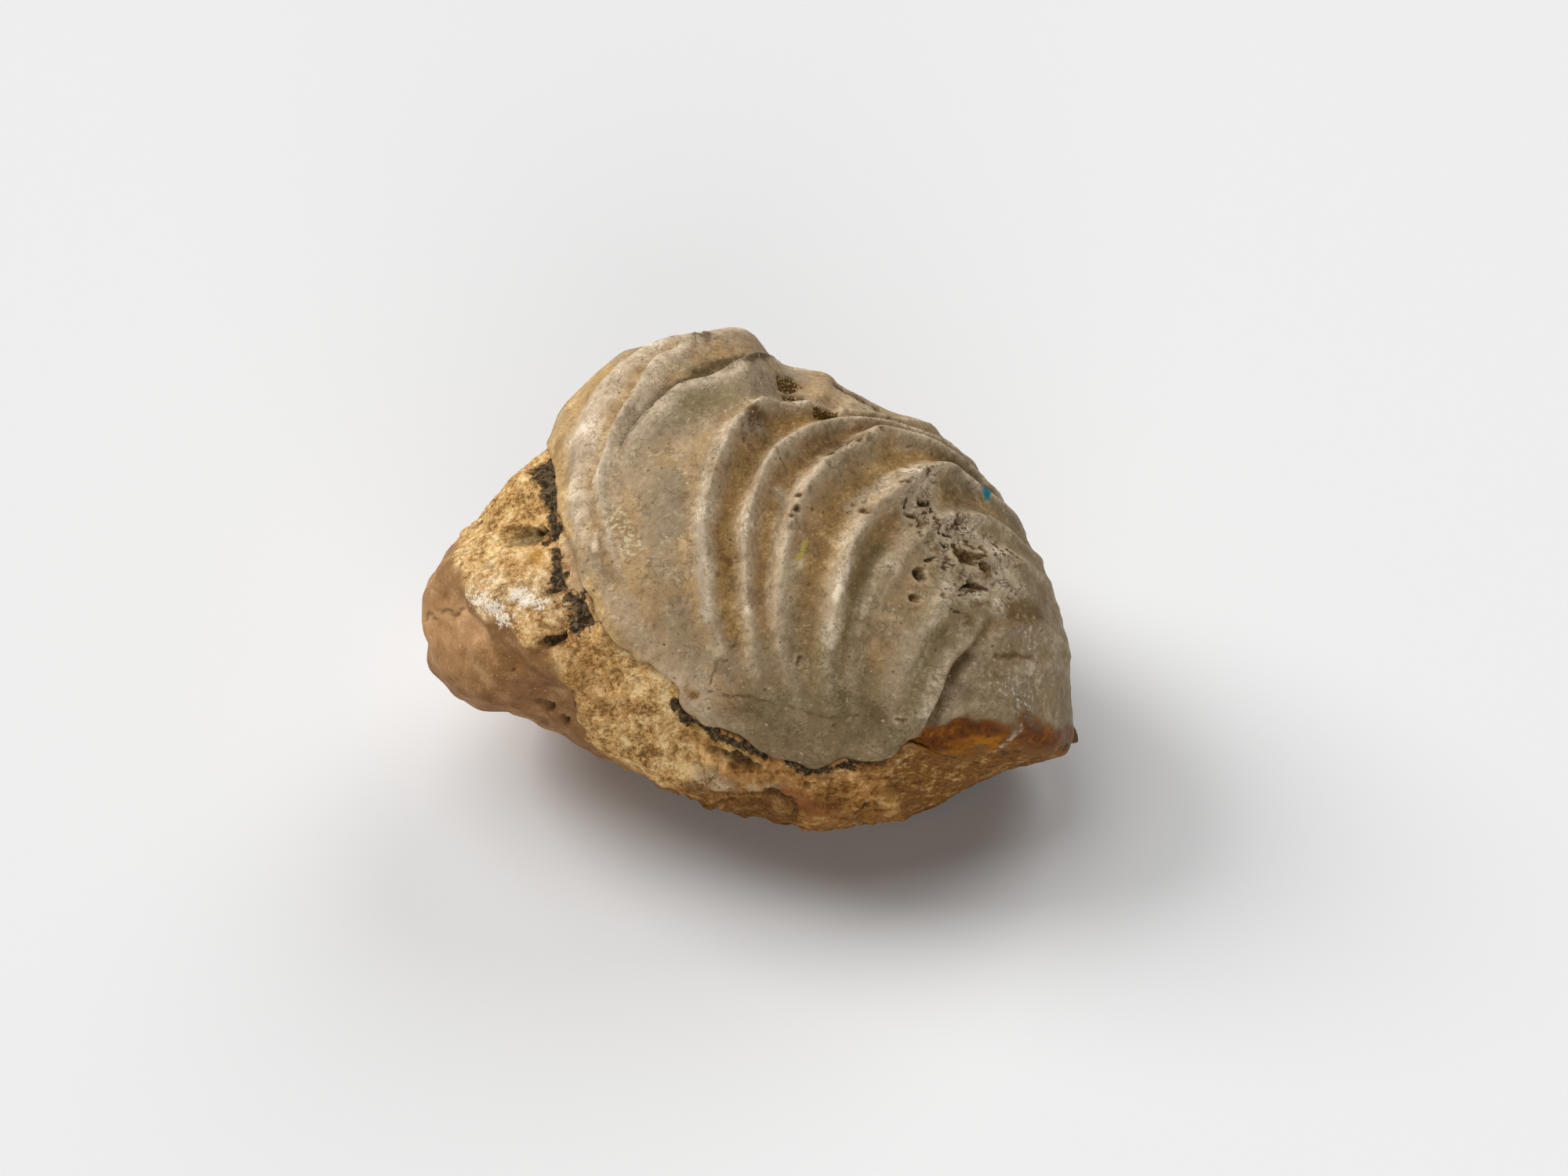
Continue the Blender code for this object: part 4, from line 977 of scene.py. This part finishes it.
def valve_material():
    paint = Paint("valve fossil shell")
    mark, lay = paint.mark, paint.lay
    slow = paint.noise(10, 3, 0.55)
    other = paint.noise(5, 4, 0.6, offset=3.1)
    medium = paint.noise(2.6, 4, 0.62)
    fine = paint.noise(1, 4, 0.68)
    dust = paint.noise(0.42, 3, 0.65)
    bands = paint.along_growth(2.6, 22, 2)
    lines = paint.along_growth(1.1, 45, 2)
    level = slow * 1.3 + other * 1.4 + medium * 1.3 + fine * 1.1 + dust * 0.7 + lines * 0.4 + bands * 0.6
    tones = (level - 2.9).ramp()

    # name of the mark, how much of it shows, and its dark, middle and light tones
    shell_zones = (
        ("violet", 1, (0.23, 0.17, 0.105), (0.32, 0.242, 0.152), (0.43, 0.335, 0.22)),
        ("ochre", 0.8, (0.31, 0.2, 0.095), (0.46, 0.305, 0.15), (0.62, 0.425, 0.23)),
        ("lower", 0.9, (0.15, 0.1, 0.045), (0.23, 0.157, 0.08), (0.32, 0.225, 0.125)),
        ("pale_edge", 0.9, (0.38, 0.26, 0.147), (0.53, 0.375, 0.225), (0.68, 0.5, 0.32)),
        ("flank", 0.9, (0.165, 0.12, 0.058), (0.255, 0.196, 0.108), (0.41, 0.33, 0.205)),
        ("olive", 0.9, (0.15, 0.11, 0.045), (0.22, 0.168, 0.078), (0.32, 0.25, 0.13)),
        ("beak", 0.9, (0.21, 0.142, 0.07), (0.305, 0.223, 0.125), (0.46, 0.36, 0.24)),
        # pale_band: paler tone with painted light on the slope that faces the key light
        ("pale_band", 1, (0.3, 0.205, 0.1), (0.5, 0.35, 0.195), (0.73, 0.54, 0.32)),
        ("floor", 1, (0.18, 0.1, 0.03), (0.325, 0.19, 0.068), (0.54, 0.34, 0.135)),
        ("gritty", 1, (0.21, 0.115, 0.037), (0.42, 0.25, 0.09), (0.7, 0.46, 0.2)),
        # pocket: painted shade, darker golden brown
        ("pocket", 0.9, (0.19, 0.105, 0.033), (0.36, 0.225, 0.085), (0.56, 0.38, 0.18)),
        # foot: ochre tint with painted light on the slope that faces the key light
        ("foot", 1.1, (0.26, 0.155, 0.055), (0.45, 0.29, 0.125), (0.7, 0.48, 0.25)),
        # trough: painted shade
        ("trough", 1.5, (0.14, 0.09, 0.032), (0.2, 0.135, 0.054), (0.3, 0.215, 0.1)),
        # groove and core: painted shade in the grooves, darkest along the deepest line
        ("groove", 1.2, (0.08, 0.048, 0.017), (0.12, 0.076, 0.031), (0.2, 0.13, 0.062)),
        ("core", 0.7, (0.07, 0.042, 0.016), (0.13, 0.08, 0.033), (0.19, 0.12, 0.055)),
        ("yellow", 1.3, (0.37, 0.225, 0.085), (0.54, 0.345, 0.142), (0.8, 0.55, 0.26)),
        # crest and pale_crest: the crests' own paleness with a painted highlight
        ("crest", 1.15, (0.36, 0.265, 0.165), (0.56, 0.43, 0.285), (0.87, 0.72, 0.53)),
        ("pale_crest", 0.9, (0.44, 0.335, 0.22), (0.68, 0.535, 0.375), (0.96, 0.81, 0.62)),
        ("bluish", 0.8, (0.38, 0.3, 0.215), (0.48, 0.39, 0.29), (0.62, 0.51, 0.39)),
        ("scale", 0.7, (0.42, 0.3, 0.18), (0.56, 0.42, 0.26), (0.78, 0.6, 0.4)),
        ("eroded", 1, (0.23, 0.155, 0.08), (0.51, 0.4, 0.265), (0.84, 0.7, 0.52)),
        ("rough", 0.9, (0.13, 0.08, 0.035), (0.4, 0.3, 0.19), (0.72, 0.58, 0.42)),
        ("rim", 0.8, (0.36, 0.25, 0.14), (0.52, 0.38, 0.23), (0.72, 0.54, 0.34)),
        ("brown", 0.9, (0.095, 0.045, 0.012), (0.15, 0.08, 0.023), (0.26, 0.155, 0.06)),
    )
    grey = tones((0.27, 0.19, 0.103), (0.4, 0.29, 0.17), (0.54, 0.408, 0.255))
    tan = tones((0.285, 0.175, 0.075), (0.425, 0.28, 0.137), (0.58, 0.405, 0.215))
    paint.base = (medium * 0.5 + paint.noise(8, 2, 0.5, offset=7.7)).fade(0.65, 0.85).mix(grey, tan)
    for name, share, dark, middle, light in shell_zones:
        lay((mark(name) * (share * 0.7 + medium * share * 0.6)).clamp(), tones(dark, middle, light))

    folds = (paint.noise(3.4, 3, 0.65, offset=5.3) - 0.5).size().fade(0.022, 0)
    wrinkle = folds * other.fade(0.42, 0.58) * (0.35 + mark("eroded") * 0.65)
    lay(wrinkle * 0.8, (0.13, 0.078, 0.033))
    speckle = paint.cells(1.9).fade(0.2, 0.1) * fine.fade(0.48, 0.6)
    lay(speckle * 0.6, (0.7, 0.56, 0.38))
    dark_speck = paint.cells(2.7).fade(0.14, 0.07) * medium.fade(0.42, 0.56)
    lay(dark_speck * 0.75, (0.1, 0.06, 0.025))
    lay(fine.fade(0.56, 0.7) * 0.22, (0.66, 0.53, 0.36))
    lay(fine.fade(0.42, 0.28) * 0.3, (0.15, 0.1, 0.045))

    holes = mark("eroded") * paint.cells(1.6).fade(0.3, 0.18) * medium.fade(0.48, 0.6)
    lay(holes * 0.8, (0.1, 0.055, 0.022))
    crevice = (mark("crevice") * 1.3 + (fine - 0.5) * 1.6).fade(0.42, 0.7)
    lay(crevice, fine.fade(0.4, 0.65).mix((0.09, 0.045, 0.016), (0.26, 0.155, 0.07)))
    lay((mark("pit") * 1.1).clamp(), fine.fade(0.45, 0.64).mix((0.07, 0.036, 0.012), (0.24, 0.14, 0.055)))
    lay(mark("vug_wall") * 0.7, (0.42, 0.3, 0.185))
    glint = dust.fade(0.5, 0.6)
    lay(mark("crystal").fade(0.15, 0.5), glint.mix((0.1, 0.05, 0.015), (0.72, 0.46, 0.15)))
    lay(mark("crack") * 0.7, (0.12, 0.07, 0.03))
    crumbs = fine.fade(0.45, 0.6).mix((0.06, 0.03, 0.012), (0.25, 0.15, 0.07))
    lay((mark("crumbled") * (0.5 + fine)).clamp(), crumbs)
    lay(mark("chip"), fine.fade(0.4, 0.6).mix((0.5, 0.36, 0.23), (0.78, 0.6, 0.43)))
    flake = mark("flake").fade(0.15, 0.6) * fine.fade(0.5, 0.58)
    lay(flake * 0.8, (0.66, 0.56, 0.36))
    lay(mark("streak"), (0.55, 0.44, 0.1))
    lay((mark("spot") * (0.5 + fine)).clamp(), (0.21, 0.085, 0.01))
    lay(mark("teal"), (0.015, 0.22, 0.3))

    stain = beak_edge(paint, fine, medium)
    # Painted glints: small whitish, glossy specks by the beak, together with the pale vein in the stain.
    glints_and_vein = mark("fleck") * fine.fade(0.55, 0.6) * other.fade(0.4, 0.5)
    glints_and_vein = glints_and_vein.over(mark("vein") * fine.fade(0.4, 0.6))
    lay(glints_and_vein * 0.85, (0.68, 0.62, 0.52))
    # Painted shade along the valve's edge at the seam.
    lay(mark("lip") * 0.4 * fine, (0.3, 0.18, 0.07))
    # Painted shade on the turned-in rings inside the seam.
    lay(mark("inside"), (0.1, 0.06, 0.03))

    roughness = 0.5 + dust * 0.16 + mark("eroded") * 0.2 + mark("floor") * 0.15 - stain * 0.24 - glints_and_vein * 0.25
    height = medium * 0.18 + fine * 0.2 + dust * 0.07 + lines * 0.04
    height = height - holes * 0.35 - wrinkle * 0.3 - crevice * 0.4
    height = height + mark("crystal") * glint * 0.3 + (mark("floor") + mark("gritty")) * fine * 0.18
    return paint.finish(roughness, height, coat=stain * 0.02, Specular_IOR_Level=0.09, Coat_Roughness=0.2)


def stone_material():
    paint = Paint("stone limestone")
    mark, lay = paint.mark, paint.lay
    slow = paint.noise(9, 3, 0.55)
    medium = paint.noise(3.2, 4, 0.62)
    fine = paint.noise(1.4, 4, 0.75)
    sugar = paint.noise(0.95, 3, 0.85)
    grit = paint.noise(0.4, 2, 0.7)
    worn, fibrous = mark("worn"), mark("fibrous")
    grains = (slow * 1.4 + medium * 2.3 + fine * 1.5 + sugar * 1.8 + grit * 0.7 - 3.35).ramp()
    plain = (slow * 1.6 + medium * 1.8 + fine * 0.8 + grit * 0.5 - 1.85).ramp()
    flow = (slow * 1.2 + medium * 2.0 + fine * 1.3 + sugar * 0.8 - 2.15).ramp()
    rest = mark("lower").over(mark("behind"))

    # what the tones follow, where the zone is, how much of it shows, and its dark, middle and light tones
    rough_zones = (
        (grains, mark("warm"), 0.9, (0.33, 0.155, 0.044), (0.66, 0.375, 0.14), (1, 0.66, 0.31)),
        (grains, mark("bright"), 0.9, (0.38, 0.22, 0.08), (0.74, 0.5, 0.255), (1, 0.86, 0.58)),
        (flow, rest, 1.3, (0.17, 0.066, 0.013), (0.46, 0.225, 0.066), (0.8, 0.49, 0.2)),
        # bottom: painted shade, darker towards the stone's bottom
        (flow, mark("bottom"), 0.9, (0.12, 0.042, 0.007), (0.31, 0.14, 0.038), (0.54, 0.29, 0.1)),
        (flow, mark("right") * rest, 1.1, (0.09, 0.028, 0.003), (0.2, 0.078, 0.013), (0.42, 0.2, 0.055)),
        (flow, mark("nodule"), 1.2, (0.14, 0.062, 0.013), (0.28, 0.14, 0.042), (0.5, 0.31, 0.13)),
    )
    paint.base = grains((0.24, 0.125, 0.038), (0.7, 0.41, 0.15), (1, 0.76, 0.4))
    for tones, where, share, dark, middle, light in rough_zones:
        lay((where * (share * 0.6 + medium * share * 0.8)).clamp(), tones(dark, middle, light))
    orange = paint.noise(5, 3, 0.6, offset=4.4).fade(0.5, 0.66)
    lay(orange * 0.55, grains((0.24, 0.1, 0.018), (0.52, 0.26, 0.06), (0.92, 0.58, 0.22)))
    lay(mark("chinks") * 0.5, (0.12, 0.052, 0.014))
    smooth = plain((0.15, 0.066, 0.019), (0.25, 0.12, 0.042), (0.4, 0.22, 0.095))
    smooth = mark("left").mix(smooth, plain((0.22, 0.11, 0.038), (0.35, 0.185, 0.075), (0.5, 0.3, 0.14)))
    smooth = mark("pink").mix(smooth, plain((0.36, 0.19, 0.076), (0.5, 0.275, 0.12), (0.68, 0.4, 0.2)))
    lay((worn * 1.2 + (medium - 0.5) * 1.6 + (fine - 0.5) * 0.8).fade(0.3, 1), smooth)

    lay(mark("amber") * 0.85, (0.56, 0.28, 0.05))
    lay(mark("skin"), plain((0.38, 0.24, 0.125), (0.53, 0.36, 0.205), (0.68, 0.49, 0.31)))
    white = (mark("white") * 1.1 + (sugar - 0.5) * 4).fade(0.65, 1)
    lay(white, (1, 0.87, 0.7))
    lay((mark("gold_lip") * (0.4 + fine)).clamp(), (0.6, 0.4, 0.14))
    lay((mark("pale") * fine.fade(0.35, 0.55)).clamp(), (0.6, 0.44, 0.26))
    lay(mark("grey") * 0.85, (0.46, 0.36, 0.235))
    lay((mark("reddish") * (0.4 + fine)).clamp(), (0.3, 0.11, 0.035))
    # Painted shade under the stone's lower edge.
    lay(mark("under") * 0.5, (0.12, 0.05, 0.014))

    beak_edge(paint, paint.noise(1, 4, 0.68), paint.noise(2.6, 4, 0.62))
    lay((mark("spur") * 1.2).clamp(), (0.15, 0.085, 0.035))
    # Painted shade on the stone along the seam.
    lay((mark("seam") * (0.3 + fine * 0.8)).clamp(), (0.2, 0.11, 0.045))
    black = (mark("black") * 1.35 + (fine - 0.5) * 2.4 + (grit - 0.5) * 0.6).fade(0.45, 0.7)
    lay(black * 0.95, sugar.fade(0.44, 0.58).mix((0.022, 0.016, 0.01), (0.15, 0.1, 0.052)))
    lay(mark("pit") * 0.85, sugar.fade(0.4, 0.6).mix((0.04, 0.024, 0.01), (0.15, 0.09, 0.035)))
    # Painted shade on the turned-in rings inside the seam.
    lay(mark("inside"), (0.04, 0.025, 0.012))

    rough = 1 - worn * 0.85 - fibrous * 0.5
    roughness = 0.84 - worn * 0.2 - white * 0.2 - fibrous * 0.15
    height = medium * 0.22 + (fine * 0.45 + sugar * 0.5) * rough + grit * 0.06
    return paint.finish(roughness, height, Specular_IOR_Level=0.1)


# --- the pieces, the floor and the light


def dressed(node, cells, form, polar_of, material):
    item = wrapped(f"{node}_dressed", cells, form, polar_of)
    item.data.materials.append(material)
    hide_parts(node)
    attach(item, "root")
    return item


dressed("valve", VALVE_CELLS, valve_form, valve_polar, valve_material())
dressed("stone", STONE_CELLS, stone_form, stone_polar, stone_material())

FLOOR_SIZE = 6
bpy.ops.mesh.primitive_plane_add(size=FLOOR_SIZE, location=(0, 0, 0))
floor = bpy.context.object
floor.name = "studio_floor"
floor_material = bpy.data.materials.new("studio floor")
floor_material.use_nodes = True
floor_shader = floor_material.node_tree.nodes["Principled BSDF"]
floor_shader.inputs["Base Color"].default_value = (0.8, 0.8, 0.8, 1)
floor_shader.inputs["Roughness"].default_value = 0.9
floor_shader.inputs["Specular IOR Level"].default_value = 0.1
floor.data.materials.append(floor_material)

CAMERA_DISTANCE = 1.0
SENSOR_WIDTH = 36
VIEW_CENTRE = (6.34, -1.87, 0)  # the middle of the picture, on the face in mm
VIEW_WIDTH = 0.2884  # metres across the picture at that point
middle = Vector(to_world([VIEW_CENTRE])[0])
facing = Vector((0, -math.cos(FACE_TILT), math.sin(FACE_TILT)))
camera = bpy.data.objects.new("camera", bpy.data.cameras.new("camera"))
camera.location = middle + facing * CAMERA_DISTANCE
camera.rotation_euler = (math.pi / 2 - FACE_TILT, 0, 0)
camera.data.sensor_width = SENSOR_WIDTH
camera.data.lens = SENSOR_WIDTH * CAMERA_DISTANCE / VIEW_WIDTH
camera.data.clip_start = 0.05
bpy.context.scene.collection.objects.link(camera)
bpy.context.scene.camera = camera

# Soft lights from far off: degrees turned from the right and raised, strength, and softness in degrees.
LIGHTS = {
    "key_light": (157, 40, 1.85, 30),
    "back_light": (55, 40, 1, 40),
    "top_light": (150, 68, 1.2, 45),
    "front_light": (275, 20, 0.95, 40),
}
LIGHT_DISTANCE = 1.5
for name, (turn, rise, strength, softness) in LIGHTS.items():
    light = bpy.data.objects.new(name, bpy.data.lights.new(name, "SUN"))
    light.data.energy = strength
    light.data.angle = math.radians(softness)
    turn, rise = math.radians(turn), math.radians(rise)
    away = Vector((math.cos(turn) * math.cos(rise), math.sin(turn) * math.cos(rise), math.sin(rise)))
    light.location = middle + away * LIGHT_DISTANCE
    light.rotation_euler = away.to_track_quat("Z", "Y").to_euler()
    bpy.context.scene.collection.objects.link(light)

world = bpy.data.worlds.new("studio")
bpy.context.scene.world = world
world.use_nodes = True
background = world.node_tree.nodes["Background"]
background.inputs["Color"].default_value = (1, 1, 1, 1)
background.inputs["Strength"].default_value = 0.03
bpy.context.scene.view_settings.view_transform = "Standard"
